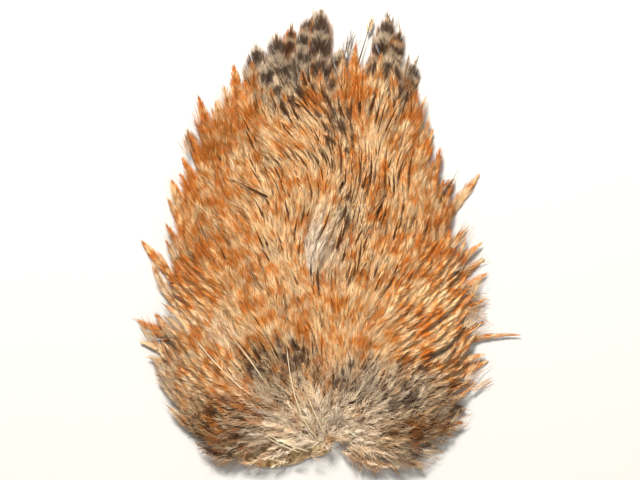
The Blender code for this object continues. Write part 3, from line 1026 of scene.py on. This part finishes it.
class Softness:
    """Where hackles give way to down: full at the cut front, none past the middle."""

    CENTRE = (3.0 * MM, -58.0 * MM)
    FULL = 30.0 * MM
    NONE = 62.0 * MM
    ACROSS = 0.62

    @classmethod
    def at(cls, x: float, y: float) -> float:
        """Share of down at a place, from 0 to 1."""
        far = math.hypot((x - cls.CENTRE[0]) * cls.ACROSS, y - cls.CENTRE[1])
        return 1 - float(smooth(np.array(far), cls.FULL, cls.NONE))


def crowded(place: np.ndarray, kept: np.ndarray, room: float) -> bool:
    """Whether a place has another, already kept, nearer than the room it needs."""
    return len(kept) > 0 and bool(np.min(np.sum((kept - place) ** 2, axis=1)) < room**2)


@dataclass
class Coat:
    """The coat of lapping feathers between the rim feathers."""

    surface: CoatSurface
    barb: Strand
    soft_barb: Strand
    shaft: Strand
    finishes: Sequence[bpy.types.Material]
    seed: int = 21
    spacing: float = 5.1 * MM
    tail_growth: float = 0.75
    tail_growth_over: tuple[float, float] = (85.0 * MM, 125.0 * MM)
    length: float = 46.0 * MM
    vane: float = 20.0 * MM
    half_width: float = 4.0 * MM
    sink: float = 5.0 * MM
    sink_power: float = 1.3
    ground: float = 2.6 * MM
    tip_lift: float = 0.35 * MM
    step: float = 3.0 * MM
    pieces: int = 4
    softest: float = 0.72

    STRAY = ((-26.0, 66.5), (-46.5, 76.5))
    STRAY_CUTS = 9
    STRAY_LIFT = 0.9 * MM
    TRIES = 26000
    PACKING = 0.78
    ROOM_GROWTH = 0.6
    FEWEST_STEPS = 4
    LIFT_POWER = 4
    DARK_FROM = 0.55
    MOTTLED_LIMIT = 0.5
    STREAKED_FROM = 0.34
    SOFT_FROM = 0.45

    def scale(self, y: float) -> float:
        """How much larger the feathers are than the middle ones: they grow towards the tail."""
        return 1 + self.tail_growth * float(smooth(np.array(y), *self.tail_growth_over))

    def tips(self, dice: np.random.Generator) -> np.ndarray:
        """Spreads feather tips over the coat, none too near another.

        Args:
            dice: the random draws.

        Returns:
            The tips seen from above, in metres.
        """
        low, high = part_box(self.surface.node)
        margin = self.spacing
        across = dice.uniform(low.x - margin, high.x + margin, self.TRIES)
        along = dice.uniform(low.y - margin, high.y + margin, self.TRIES)
        kept = np.empty((0, 2))
        for place in np.column_stack([across, along]):
            if not self.surface.covers(*place) or Softness.at(*place) > self.softest:
                continue
            room = self.PACKING * self.spacing * self.scale(place[1]) ** self.ROOM_GROWTH
            if not crowded(place, kept, room):
                kept = np.vstack([kept, place])
        return kept

    def spine(self, tip: np.ndarray, length: float, turn: float, lift: float) -> Spine:
        """Traces a shaft back from its tip, along the lie of the coat and down into it.

        Args:
            tip: place of the tip seen from above, in metres.
            length: length of the shaft.
            turn: how far this feather lies off its neighbours, in radians.
            lift: how far the tip stands off the coat.

        Returns:
            The shaft's line, root first.
        """
        places = [tip]
        count = max(self.FEWEST_STEPS, int(length / self.step))
        for number in range(count):
            way = turned(Flow.heading(*places[-1]), turn * (1 - number / count))
            from_centre = float(np.linalg.norm(places[-1] - Flow.CENTRE))
            if number >= self.FEWEST_STEPS and from_centre < 2 * self.step:
                break
            places.append(places[-1] - way * self.step)
        line = np.array(places[::-1])
        share = np.linspace(0, 1, len(line))
        height = self.surface.height(line[:, 0], line[:, 1]) + lift * share**self.LIFT_POWER
        height = np.maximum(height - self.sink * (1 - share) ** self.sink_power, self.ground)
        return Spine(np.column_stack([line, height]))

    def plume(self, tip: np.ndarray, dice: np.random.Generator) -> Plume:
        """Chooses one feather's shape and colouring for its place.

        Args:
            tip: place of its tip seen from above, in metres.
            dice: the random draws.

        Returns:
            The feather.
        """
        soft = Softness.at(*tip)
        ginger, dark, grey, light = Pelt.tone(*tip)
        size = dice.uniform(0.85, 1.15) * self.scale(tip[1])
        length = self.length * size * (1 - 0.35 * soft)
        turn = math.radians(dice.normal(0, 7 + 8 * soft))
        spine = self.spine(tip, length, turn, self.tip_lift * dice.uniform(-1, 1))
        vane = min(self.vane * size, spine.length * 0.8)
        darkest = self.MOTTLED_LIMIT if dark < self.DARK_FROM else 1
        tone = (
            float(np.clip(ginger + dice.normal(0, 0.18), 0, 1)),
            float(np.clip(dark + dice.normal(0, 0.13), 0, darkest)),
            float(np.clip(grey + dice.normal(0, 0.10), 0, 1)),
        )
        streaked = tone[1] > self.STREAKED_FROM
        return Plume(
            spine=spine,
            barb=self.soft_barb if soft > self.SOFT_FROM else self.barb,
            half_width=self.half_width * size,
            vane_start=spine.length - vane,
            spacing=0.31 * MM,
            barb_width=0.33 * MM,
            angle=25 + 6 * soft,
            tip_angle=13 + 6 * soft,
            curl=6,
            scatter=3.5 + 5 * soft,
            clump=4 + 4 * soft,
            wave=0.2 * soft,
            ragged=0.28,
            longest=(13 + 3 * soft) * MM,
            shaft_radius=(0.45 if streaked else 0.25) * MM,
            shaft_tip_radius=(dice.uniform(0.15, 0.8) if streaked else 0.20) * MM,
            shaft_flatness=0.5,
            taper=dice.uniform(9, 14) * MM * self.scale(tip[1]),
            bluntness=dice.uniform(0.5, 0.75),
            tone=tone,
            period=dice.uniform(0.8, 1.15) * (1 + 0.35 * dark),
            phase=dice.uniform(0, 1),
            # Per-feather lightness: random tone and painted light and shade.
            light=light * dice.uniform(0.82, 1.12),
            streak=0.18,
        )

    def stray(self) -> Plume:
        """Lays the narrow dark feather across the others on the left of the tail.

        Returns:
            The feather.
        """
        line = np.linspace(*self.STRAY, self.STRAY_CUTS) * MM
        height = self.surface.height(line[:, 0], line[:, 1]) + self.STRAY_LIFT
        spine = Spine(np.column_stack([line, height]))
        return Plume(
            spine=spine,
            barb=self.soft_barb,
            half_width=0.9 * MM,
            vane_start=0.0,
            spacing=0.7 * MM,
            ragged=0.6,
            scatter=9,
            shaft_radius=0.42 * MM,
            shaft_tip_radius=0.14 * MM,
            taper=spine.length,
            tone=(0.5, 1.0, 0.1),
            period=3.0,
            phase=0.4,
        )

    def build(self) -> list[bpy.types.Object]:
        """Makes the coat's pieces.

        Returns:
            The pieces, front to tail.
        """
        dice = np.random.default_rng(self.seed)
        tips = self.tips(dice)
        tips = tips[np.argsort(tips[:, 1])]
        made = []
        for number, share in enumerate(np.array_split(tips, self.pieces), 1):
            batch = PlumeBatch(self.shaft, dice)
            for tip in share:
                batch.add(self.plume(tip, dice))
            if number == self.pieces:
                batch.add(self.stray())
            piece = batch.build(f"coat_feathers_{number}", self.finishes)
            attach(piece, BODY)
            made.append(piece)
        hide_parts(self.surface.node)
        LOG.info("coat: %d feathers", len(tips))
        return made


@dataclass
class RimFeather:
    """One loose feather at the rim, rebuilt barb by barb where its node lies."""

    node: str
    slot: str
    barb: Strand
    shaft: Strand
    finishes: Sequence[bpy.types.Material]
    seed: int
    cuts: int = 14
    shaft_share: float = 0.42
    slender: float = 2.1 * MM
    broad: float = 4.5 * MM

    SLICES = (0.01, 0.995)
    ROOTS_ABOUT = 30.0 * MM
    TIP_INSET = 2.2 * MM
    OWN_TONE = 0.7
    PELT_TONE = 0.3
    BARRED_FROM = 0.55
    WIDENED = 1.22
    WIDENED_SLENDER = 1.15
    WIDENED_SPOON = 1.8
    SPOONS = {"tail_feather_09": 0.92}
    TINTS = {
        "tail_feather_04": (0.60, 0.75, 0.35),
        "tail_feather_09": (0.30, 0.45, 0.60),
        "tail_feather_10": (0.45, 0.95, 0.35),
        "tail_feather_12": (0.30, 0.95, 0.45),
    }
    TONES = {
        Tone.GINGER: (0.95, 0.12, 0.0),
        Tone.GRIZZLE: (0.25, 0.95, 0.8),
        Tone.CREAM: (0.35, 0.25, 0.15),
        Tone.DOWN: (0.15, 0.45, 0.6),
    }

    def outline(self) -> tuple[np.ndarray, np.ndarray]:
        """Slices the node across its length.

        Returns:
            Middle of each slice on the node's upper face, root first, and half its width.
        """
        mesh = bpy.data.objects[self.node].data
        points = np.array([v.co for v in mesh.vertices])
        sides = np.array([p.vertices for p in mesh.polygons])
        edges = np.concatenate([sides[:, [0, 1]], sides[:, [1, 2]], sides[:, [2, 0]]])
        middle = points[:, :2].mean(axis=0)
        axis = np.linalg.svd(points[:, :2] - middle)[2][0]
        far = (points[:, :2] - middle) @ axis
        ends = points[np.argmin(far), :2], points[np.argmax(far), :2]
        root, tip = sorted(ends, key=lambda end: float(np.hypot(end[0], end[1] - self.ROOTS_ABOUT)))
        chord = tip - root
        length = float(np.linalg.norm(chord))
        chord = chord / length
        side = np.array([-chord[1], chord[0]])
        along = (points[:, :2] - root) @ chord
        across = (points[:, :2] - root) @ side
        middles, halves = [], []
        for share in np.linspace(*self.SLICES, self.cuts):
            level = share * length
            first, last = along[edges[:, 0]], along[edges[:, 1]]
            cut = (first - level) * (last - level) < 0
            part = ((level - first[cut]) / (last[cut] - first[cut]))[:, None]
            hits = points[edges[cut, 0]] * (1 - part) + points[edges[cut, 1]] * part
            aside = across[edges[cut, 0]] * (1 - part[:, 0]) + across[edges[cut, 1]] * part[:, 0]
            centre = root + chord * level + side * (aside.min() + aside.max()) / 2
            middles.append((*centre, hits[:, 2].max()))
            halves.append((aside.max() - aside.min()) / 2)
        return np.array(middles), np.array(halves)

    def build(self) -> bpy.types.Object:
        """Makes the feather.

        Returns:
            The piece.
        """
        dice = np.random.default_rng(self.seed)
        middles, halves = self.outline()
        whole = Spine(middles)
        spine = Spine(whole.at(np.linspace(0, whole.length - self.TIP_INSET, self.cuts))[0])
        around = Pelt.tone(*middles[-1][:2])[:3]
        tone = np.array(self.TONES[Tone(self.slot)]) * self.OWN_TONE + around * self.PELT_TONE
        ginger, dark, grey = self.TINTS.get(self.node, tuple(tone.tolist()))
        width = float(halves.max())
        barred = dark > self.BARRED_FROM
        broad = width > self.broad
        slender = width < self.slender
        wispy = self.node.startswith("right") and not barred
        soft = 1.0 if self.slot == Tone.DOWN.value else 0.0
        bare = self.SPOONS.get(self.node, self.shaft_share)
        widened = self.WIDENED_SLENDER if slender else self.WIDENED
        if self.node in self.SPOONS:
            widened = self.WIDENED_SPOON
        plume = Plume(
            spine=spine,
            barb=self.barb,
            half_width=width * widened,
            vane_start=spine.length * bare,
            spacing=0.22 * MM,
            barb_width=0.34 * MM,
            angle=(46 if broad else 30) + 4 * soft,
            tip_angle=30 if broad else 15,
            curl=28 if broad else 8,
            scatter=(6 if wispy else 2) + 6 * soft,
            clump=(2.2 if barred else 4) + 4 * soft,
            ragged=0.5 if wispy else 0.12 if barred else 0.28,
            longest=24 * MM,
            taper=spine.length * (1 - bare) * 0.8 if slender else width * (1.7 if barred else 4.0),
            bluntness=0.9 if wispy else 0.68 if broad and barred else 0.8,
            shaft_radius=(0.50 if slender else 0.32) * MM,
            shaft_tip_radius=(0.30 if slender else 0.06) * MM,
            tone=(ginger, dark, grey),
            period=dice.uniform(0.65, 0.85) * (1.6 if broad and barred else 1.0),
            phase=dice.uniform(0.30, 0.48) if barred else dice.uniform(0, 1),
            light=dice.uniform(0.92, 1.08) * (0.62 if barred else 0.95),
            lace=0.6 if barred else 0.0,
            streak=0.08 if barred else 0.15,
            shade_range=0.16 if barred else 0.28,
        )
        batch = PlumeBatch(self.shaft, dice)
        batch.add(plume)
        piece = batch.build(f"{self.node}_barbs", self.finishes)
        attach(piece, BODY)
        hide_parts(self.node)
        return piece


@dataclass
class Underdown:
    """The matted down under the coat, which closes the gaps between its feathers; its dark finish is partly
    the down's own colour and partly painted shade in the gaps.
    """

    surface: CoatSurface
    finish: bpy.types.Material
    name: str = "matted_down"
    centre: Place = (-2.0 * MM, 38.0 * MM)
    half_sizes: Place = (60.0 * MM, 86.0 * MM)
    depth: float = 3.8 * MM
    foot: float = 2.1 * MM
    least: float = 0.2 * MM
    squareness: float = 2.4
    segments: int = 96
    rings: int = 64

    UPPER_FROM = 0.02
    CREASE = math.radians(60)

    def build(self) -> bpy.types.Object:
        """Makes a low mound that keeps under the coat all over.

        Returns:
            The piece.
        """
        deselect_all()
        bpy.ops.mesh.primitive_uv_sphere_add(segments=self.segments, ring_count=self.rings, radius=1.0)
        piece = bpy.context.object
        piece.name = self.name
        piece.data.name = self.name
        for vertex in piece.data.vertices:
            across, along, up = vertex.co
            far = math.hypot(across, along)
            square = abs(across) ** self.squareness + abs(along) ** self.squareness
            share = far / square ** (1 / self.squareness) if far > TINY else 1.0
            x = self.centre[0] + across * share * self.half_sizes[0]
            y = self.centre[1] + along * share * self.half_sizes[1]
            top = float(self.surface.height(np.array(x), np.array(y))) - self.depth
            top = max(top, self.foot + self.least)
            vertex.co = (x, y, top if up > self.UPPER_FROM else self.foot)
        bpy.ops.object.shade_smooth_by_angle(angle=self.CREASE)
        piece.data.materials.append(self.finish)
        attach(piece, BODY)
        LOG.info("%s: %d faces", self.name, len(piece.data.polygons))
        return piece


@dataclass
class FrontDown:
    """Long loose down over the cut front, with the bare quills that stand out of it."""

    coat: Coat
    strand: Strand
    shaft: Strand
    quill: Strand
    finishes: Sequence[bpy.types.Material]
    quill_finish: bpy.types.Material
    seed: int = 77
    spacing: float = 4.6 * MM
    tries: int = 9000
    softest: float = 0.35
    shortest: float = 9.0 * MM
    length: float = 27.0 * MM
    pieces: int = 2

    BARE_EDGE = (
        (-22.0, -64.0),
        (-12.0, -58.5),
        (0.0, -54.0),
        (4.0, -51.0),
        (16.0, -49.5),
        (20.0, -53.0),
        (27.0, -76.0),
    )
    CUT_CORNER = (4.0 * MM, -57.0 * MM)
    SHARE_BESIDE_CUT = 0.45
    SHARE_ELSEWHERE = 0.8
    TUFT_LIFT = 0.8 * MM
    QUILL_CUTS = 12
    QUILL_BOW = 0.6 * MM
    QUILL_ROOT = 1.9 * MM
    QUILL_LIFT = 0.3 * MM
    QUILLS = (
        ((-4.5, -61.0), (-16.0, -56.5), (-28.5, -50.0)),
        ((-9.0, -61.5), (-19.0, -57.0), (-29.0, -51.0)),
        ((2.0, -57.0), (-10.5, -38.0), (-16.5, -6.0)),
        ((3.0, -54.5), (-1.0, -44.0), (-6.5, -32.0)),
        ((-30.5, -33.0), (-44.5, -23.0), (-62.5, -3.0)),
        ((-15.5, -66.5), (-20.0, -65.5), (-26.0, -63.5)),
        ((-24.5, -29.0), (-33.5, -15.5), (-42.0, -4.5)),
        ((13.0, -50.0), (15.5, -49.0), (18.0, -47.5)),
    )

    def tips(self, dice: np.random.Generator) -> np.ndarray:
        """Spreads tuft tips over the front, none too near another.

        Args:
            dice: the random draws.

        Returns:
            The tips seen from above, in metres.
        """
        low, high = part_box(self.coat.surface.node)
        across = dice.uniform(low.x, high.x, self.tries)
        along = dice.uniform(low.y, 0.0, self.tries)
        kept = np.empty((0, 2))
        for place in np.column_stack([across, along]):
            if not self.coat.surface.covers(*place) or Softness.at(*place) < self.softest:
                continue
            if not self.on_bare_edge(*place) and not crowded(place, kept, self.spacing):
                kept = np.vstack([kept, place])
        return kept

    def on_bare_edge(self, x: float, y: float) -> bool:
        """Whether a place lies on the cut edge of the skin, where no down grows."""
        across, along = (np.array(axis) * MM for axis in zip(*self.BARE_EDGE))
        return bool(across[0] < x < across[-1] and y < np.interp(x, across, along))

    def tuft(self, tip: np.ndarray, dice: np.random.Generator) -> Plume:
        """Chooses one tuft, which leans away from the middle of the cut.

        Args:
            tip: place of its tip seen from above, in metres.
            dice: the random draws.

        Returns:
            The tuft.
        """
        far = float(np.linalg.norm(tip - Flow.CENTRE))
        beside_cut = tip[0] < self.CUT_CORNER[0] and tip[1] < self.CUT_CORNER[1]
        far *= self.SHARE_BESIDE_CUT if beside_cut else self.SHARE_ELSEWHERE
        length = float(np.clip(far, self.shortest, self.length)) * dice.uniform(0.85, 1.15)
        spine = self.coat.spine(tip, length, math.radians(dice.normal(0, 9)), self.TUFT_LIFT)
        ginger, dark, grey, light = Pelt.tone(*tip)
        lock_shade = dice.normal(0, 1)
        return Plume(
            spine=spine,
            barb=self.strand,
            half_width=dice.uniform(3.2, 5.0) * MM,
            vane_start=0.12 * spine.length,
            spacing=0.64 * MM,
            barb_width=0.37 * MM,
            angle=22,
            tip_angle=10,
            curl=4,
            scatter=4,
            clump=5,
            wave=0.22,
            ragged=0.3,
            droop=0.02,
            taper=dice.uniform(13, 19) * MM,
            longest=17 * MM,
            shaft_radius=0.12 * MM,
            tone=(
                float(np.clip(ginger + dice.normal(0, 0.12), 0, 1)),
                float(np.clip(dark * 0.95 + dice.normal(0, 0.15), 0, 1)),
                float(np.clip(grey + dice.normal(0, 0.12), 0, 1)),
            ),
            period=dice.uniform(1.4, 2.2),
            phase=dice.uniform(0, 1),
            # Lighter and darker locks: partly random tone, partly painted light and shade between locks.
            light=light * (1 + 0.12 * lock_shade),
            streak=0.12,
            shade_range=0.18,
        )

    def line(self, places: Sequence[Place]) -> Spine:
        """Bends a quill through its root, middle and tip.

        Args:
            places: the three seen from above, in millimetres.

        Returns:
            The quill's line, root first.
        """
        root, middle, tip = (np.array(place) * MM for place in places)
        share = np.linspace(0, 1, self.QUILL_CUTS)[:, None]
        bow = 2 * middle - (root + tip) / 2
        line = root * (1 - share) ** 2 + bow * 2 * share * (1 - share) + tip * share**2
        height = self.coat.surface.height(line[:, 0], line[:, 1])
        height += self.QUILL_BOW * np.sin(np.pi * share[:, 0])
        height[0] = min(height[0], self.QUILL_ROOT)
        return Spine(np.column_stack([line, height + self.QUILL_LIFT]))

    def build(self) -> list[bpy.types.Object]:
        """Makes the down and the quills.

        Returns:
            The pieces of down, then the quills.
        """
        dice = np.random.default_rng(self.seed)
        tips = self.tips(dice)
        tips = tips[np.argsort(tips[:, 0])]
        made = []
        for number, share in enumerate(np.array_split(tips, self.pieces), 1):
            down = PlumeBatch(self.shaft, dice)
            for tip in share:
                down.add(self.tuft(tip, dice))
            made.append(down.build(f"front_down_{number}", self.finishes))
        quills = PlumeBatch(self.quill, dice)
        for places in self.QUILLS:
            spine = self.line(places)
            quills.add_shaft(
                Plume(spine, self.strand, 0.0, 0.0, shaft_radius=0.34 * MM, shaft_tip_radius=0.16 * MM)
            )
        made.append(quills.build("bare_quills", (self.quill_finish, self.quill_finish)))
        for piece in made:
            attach(piece, BODY)
        LOG.info("front down: %d tufts", len(tips))
        return made


@dataclass(frozen=True)
class Wisp:
    """A loose bundle of hairs: its root and tip seen from above, in millimetres."""

    root: Place
    tip: Place
    count: int
    spread: float = 12.0
    bend: float = 12.0
    tone: tuple[float, float, float] = (0.35, 0.0, 0.35)
    light: float = 0.8


@dataclass
class Wisps:
    """Loose hairs and curled barbs that stand off the rim."""

    surface: CoatSurface
    strand: Strand
    finishes: Sequence[bpy.types.Material]
    seed: int = 5
    width: float = 0.36 * MM
    lift: float = 0.6 * MM
    lowest: float = 0.6 * MM
    cuts: int = 8

    ROOT_SCATTER = 1.0 * MM
    BENDS = (1.0, 1.0, -0.6)
    BEND_POWER = 1.5
    BEND_START = 0.4
    BUNDLES = (
        Wisp((66.0, 42.0), (75.5, 55.0), 9, 9.0),
        Wisp((68.0, 30.0), (76.0, 41.0), 6, 9.0),
        Wisp((73.0, 31.0), (84.5, 38.0), 8, 20.0),
        Wisp((76.0, 21.0), (85.5, 28.0), 9, 14.0),
        Wisp((75.0, 18.0), (86.5, 17.0), 10, 24.0),
        Wisp((74.0, 10.0), (87.0, 7.0), 8, 22.0),
        Wisp((73.0, 2.0), (84.0, 13.0), 14, 24.0),
        Wisp((76.0, -1.0), (88.0, 4.0), 8, 14.0),
        Wisp((76.0, -30.0), (88.5, -22.5), 10, 8.0),
        Wisp((73.0, -24.0), (84.0, -13.0), 14, 10.0),
        Wisp((66.0, -48.0), (75.0, -41.0), 10, 18.0),
        Wisp((52.0, -60.0), (62.0, -65.0), 8, 16.0),
        Wisp((48.0, -66.0), (56.0, -71.0), 8, 14.0),
        Wisp((36.0, -66.0), (44.0, -74.0), 12, 14.0, tone=(0.1, 0.3, 0.8)),
        Wisp((25.0, -62.0), (30.0, -74.0), 10, 12.0),
        Wisp((-13.0, -66.5), (-5.0, -62.5), 7, 22.0, 30.0, (0.15, 0.0, 0.5), 0.75),
        Wisp((-5.0, -62.5), (3.0, -59.0), 7, 24.0, 30.0, (0.15, 0.0, 0.5), 0.8),
        Wisp((3.0, -56.0), (9.0, -53.0), 18, 30.0, 40.0, (0.15, 0.0, 0.5), 0.85),
        Wisp((9.0, -53.5), (17.0, -52.5), 18, 26.0, 40.0, (0.15, 0.0, 0.5), 0.85),
        Wisp((20.0, -58.0), (22.5, -74.0), 8, 9.0),
        Wisp((-46.0, -65.0), (-54.0, -70.5), 8, 16.0),
        Wisp((-28.0, -66.0), (-30.0, -73.0), 6, 34.0, 60.0),
        Wisp((-84.0, -6.0), (-91.5, 7.0), 12, 7.0, tone=(0.4, 0.1, 0.3)),
        Wisp((-82.0, -4.0), (-87.0, 7.5), 10, 7.0, tone=(0.4, 0.1, 0.3)),
        Wisp((-76.0, -4.0), (-81.0, 6.0), 8, 12.0),
        Wisp((-78.0, -14.0), (-88.0, -6.0), 8, 14.0),
        Wisp((-72.0, -30.0), (-81.0, -20.0), 8, 12.0),
        Wisp((34.0, 152.0), (31.0, 160.0), 7, 10.0, 45.0, (0.1, 0.5, 0.8)),
        Wisp((35.0, 152.0), (38.5, 159.0), 8, 10.0, -40.0, (0.1, 0.5, 0.8)),
        Wisp((15.0, 139.0), (19.0, 151.0), 6, 8.0, 10.0, (0.3, 0.5, 0.5)),
        Wisp((13.0, 140.0), (13.5, 149.0), 5, 9.0, 10.0, (0.3, 0.5, 0.5)),
        Wisp((-72.0, 36.0), (-76.5, 48.0), 9, 10.0),
        Wisp((-66.0, 88.0), (-70.0, 96.0), 7, 9.0),
        Wisp((-60.0, 104.0), (-63.0, 116.0), 7, 8.0),
    )

    def hair(self, wisp: Wisp, dice: np.random.Generator) -> Spine:
        """Traces one hair of a bundle, curved to one side.

        Args:
            wisp: the bundle.
            dice: the random draws.

        Returns:
            The hair's line, root first.
        """
        root, tip = np.array(wisp.root) * MM, np.array(wisp.tip) * MM
        way = tip - root
        length = float(np.linalg.norm(way)) * dice.uniform(0.6, 1.1)
        start = root + dice.normal(0, self.ROOT_SCATTER, 2)
        heading = math.atan2(way[1], way[0]) + math.radians(dice.normal(0, wisp.spread))
        bend = math.radians(wisp.bend * dice.uniform(0.2, 1.6) * dice.choice(self.BENDS))
        share = np.linspace(0, 1, self.cuts + 1)
        angle = heading + bend * (share**self.BEND_POWER - self.BEND_START)
        steps = length / self.cuts * np.column_stack([np.cos(angle), np.sin(angle)])
        line = start + np.vstack([[0.0, 0.0], np.cumsum(steps[:-1], axis=0)])
        height = self.surface.height(line[:, 0], line[:, 1]) + self.lift * dice.uniform(-0.5, 2.0) * share
        return Spine(np.column_stack([line, np.maximum(height, self.lowest)]))

    def build(self) -> bpy.types.Object:
        """Makes all the hairs.

        Returns:
            The piece.
        """
        dice = np.random.default_rng(self.seed)
        batch = PlumeBatch(self.strand, dice)
        for wisp in self.BUNDLES:
            for _ in range(wisp.count):
                plume = Plume(
                    self.hair(wisp, dice),
                    self.strand,
                    0.0,
                    0.0,
                    shaft_radius=self.width / 2 * dice.uniform(0.7, 1.2),
                    shaft_tip_radius=self.width / 4,
                    tone=wisp.tone,
                    period=3.0,
                    light=wisp.light * dice.uniform(0.75, 1.15),
                )
                batch.add_shaft(plume)
        piece = batch.build("loose_hairs", (self.finishes[0], self.finishes[0]))
        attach(piece, BODY)
        return piece


@dataclass(frozen=True)
class Lamp:
    """One square area light, with its place and size in metres and its power in watts."""

    name: str
    place: tuple[float, float, float]
    size: float
    power: float
    colour: tuple[float, float, float]

    def build(self, target: tuple[float, float, float]) -> None:
        """Adds the light.

        Args:
            target: the place that it faces, in metres.
        """
        data = bpy.data.lights.new(self.name, "AREA")
        data.size = self.size
        data.energy = self.power
        data.color = self.colour
        made = bpy.data.objects.new(self.name, data)
        made.location = self.place
        aim = Vector(target) - Vector(self.place)
        made.rotation_euler = aim.to_track_quat("-Z", "Y").to_euler()
        bpy.context.scene.collection.objects.link(made)


@dataclass
class Studio:
    """Pale floor, soft light from the upper left, and the camera straight above."""

    target: tuple[float, float, float] = (0.0, 45.0 * MM, 8.0 * MM)
    view_width: float = 320.0 * MM
    lens: float = 85.0
    sensor: float = 36.0
    floor_size: float = 6.0
    floor_colour: Colour = (0.57, 0.56, 0.545, 1.0)
    floor_roughness: float = 0.8
    sky: Colour = (1.0, 0.98, 0.95, 1.0)
    sky_strength: float = 0.255

    LAMPS = (
        Lamp("key", (-0.25, 1.05, 1.25), 0.35, 54.0, (1.0, 0.955, 0.89)),
        Lamp("fill", (0.9, -0.6, 1.2), 0.9, 7.0, (1.0, 0.97, 0.93)),
    )

    def build(self) -> None:
        """Makes the floor, the lights and the camera."""
        self.floor()
        for lamp in self.LAMPS:
            lamp.build(self.target)
        world = bpy.data.worlds.new("studio")
        world.use_nodes = True
        background = world.node_tree.nodes["Background"].inputs
        background["Color"].default_value = self.sky
        background["Strength"].default_value = self.sky_strength
        bpy.context.scene.world = world
        bpy.context.scene.view_settings.view_transform = "Standard"
        self.camera()

    def floor(self) -> None:
        """Adds the floor, just under the skin."""
        deselect_all()
        bpy.ops.mesh.primitive_plane_add(size=self.floor_size, location=(0, 0, 0))
        made = bpy.context.object
        made.name = "floor"
        material = bpy.data.materials.new("pale_floor")
        material.use_nodes = True
        shader = material.node_tree.nodes["Principled BSDF"]
        shader.inputs["Base Color"].default_value = self.floor_colour
        shader.inputs["Roughness"].default_value = self.floor_roughness
        made.data.materials.append(material)

    def camera(self) -> None:
        """Adds the camera, looking straight down with the tail at the top of the picture."""
        data = bpy.data.cameras.new("camera")
        data.lens = self.lens
        data.sensor_width = self.sensor
        made = bpy.data.objects.new("camera", data)
        distance = self.lens / self.sensor * self.view_width
        made.location = Vector(self.target) + Vector((0, 0, distance))
        bpy.context.scene.collection.objects.link(made)
        bpy.context.scene.camera = made


def dress_skin() -> None:
    """Gives the kept skin its dried-hide finish."""
    finish = GroundFinish(
        "dried_hide",
        low=(0.24, 0.12, 0.035, 1.0),
        high=(0.70, 0.50, 0.23, 1.0),
        scale=520.0,
        roughness=0.55,
    )
    skin = bpy.data.objects["skin"]
    skin.data.materials.clear()
    skin.data.materials.append(finish.material())


def main() -> None:
    """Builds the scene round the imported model."""
    logging.basicConfig(level=logging.INFO, format="%(message)s")
    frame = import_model()
    bpy.context.view_layer.update()
    Studio().build()
    barb = Strand.model(3, ())
    bent_barb = Strand.model(3, (0.5,))
    wavy_barb = Strand.model(3, (0.33, 0.66))
    shaft = Strand.model(4, (0.2, 0.4, 0.6, 0.8))
    quill = Strand.model(6, (0.15, 0.3, 0.45, 0.6, 0.75, 0.9))
    finishes = (FeatherFinish("feather_barbs").material(), ShaftFinish("feather_shafts").material())
    quill_finish = ShaftFinish(
        "bare_quill", root_colour=(0.70, 0.57, 0.35, 1.0), tip_colour=(0.74, 0.62, 0.42, 1.0)
    ).material()
    surface = CoatSurface()
    # Dark colours of the down under the coat: partly the down's own colour, partly painted shade in the gaps
    # between feathers.
    down_and_painted_shade = GroundFinish(
        "matted_down",
        low=(0.07, 0.03, 0.012, 1.0),
        high=(0.30, 0.14, 0.055, 1.0),
        scale=160.0,
        roughness=0.8,
        front=(0.38, 0.28, 0.19, 1.0),
    )
    Underdown(surface, down_and_painted_shade.material()).build()
    coat = Coat(surface, barb, bent_barb, shaft, finishes)
    coat.build()
    FrontDown(coat, wavy_barb, shaft, quill, finishes, quill_finish).build()
    Wisps(surface, shaft, finishes).build()
    dress_skin()
    for number, part in enumerate(frame["record"]["subparts"]):
        if part["node"] not in ("skin", surface.node):
            RimFeather(part["node"], part["material_slot"], bent_barb, shaft, finishes, 100 + number).build()
    bpy.context.view_layer.update()


if __name__ == "__main__":
    main()
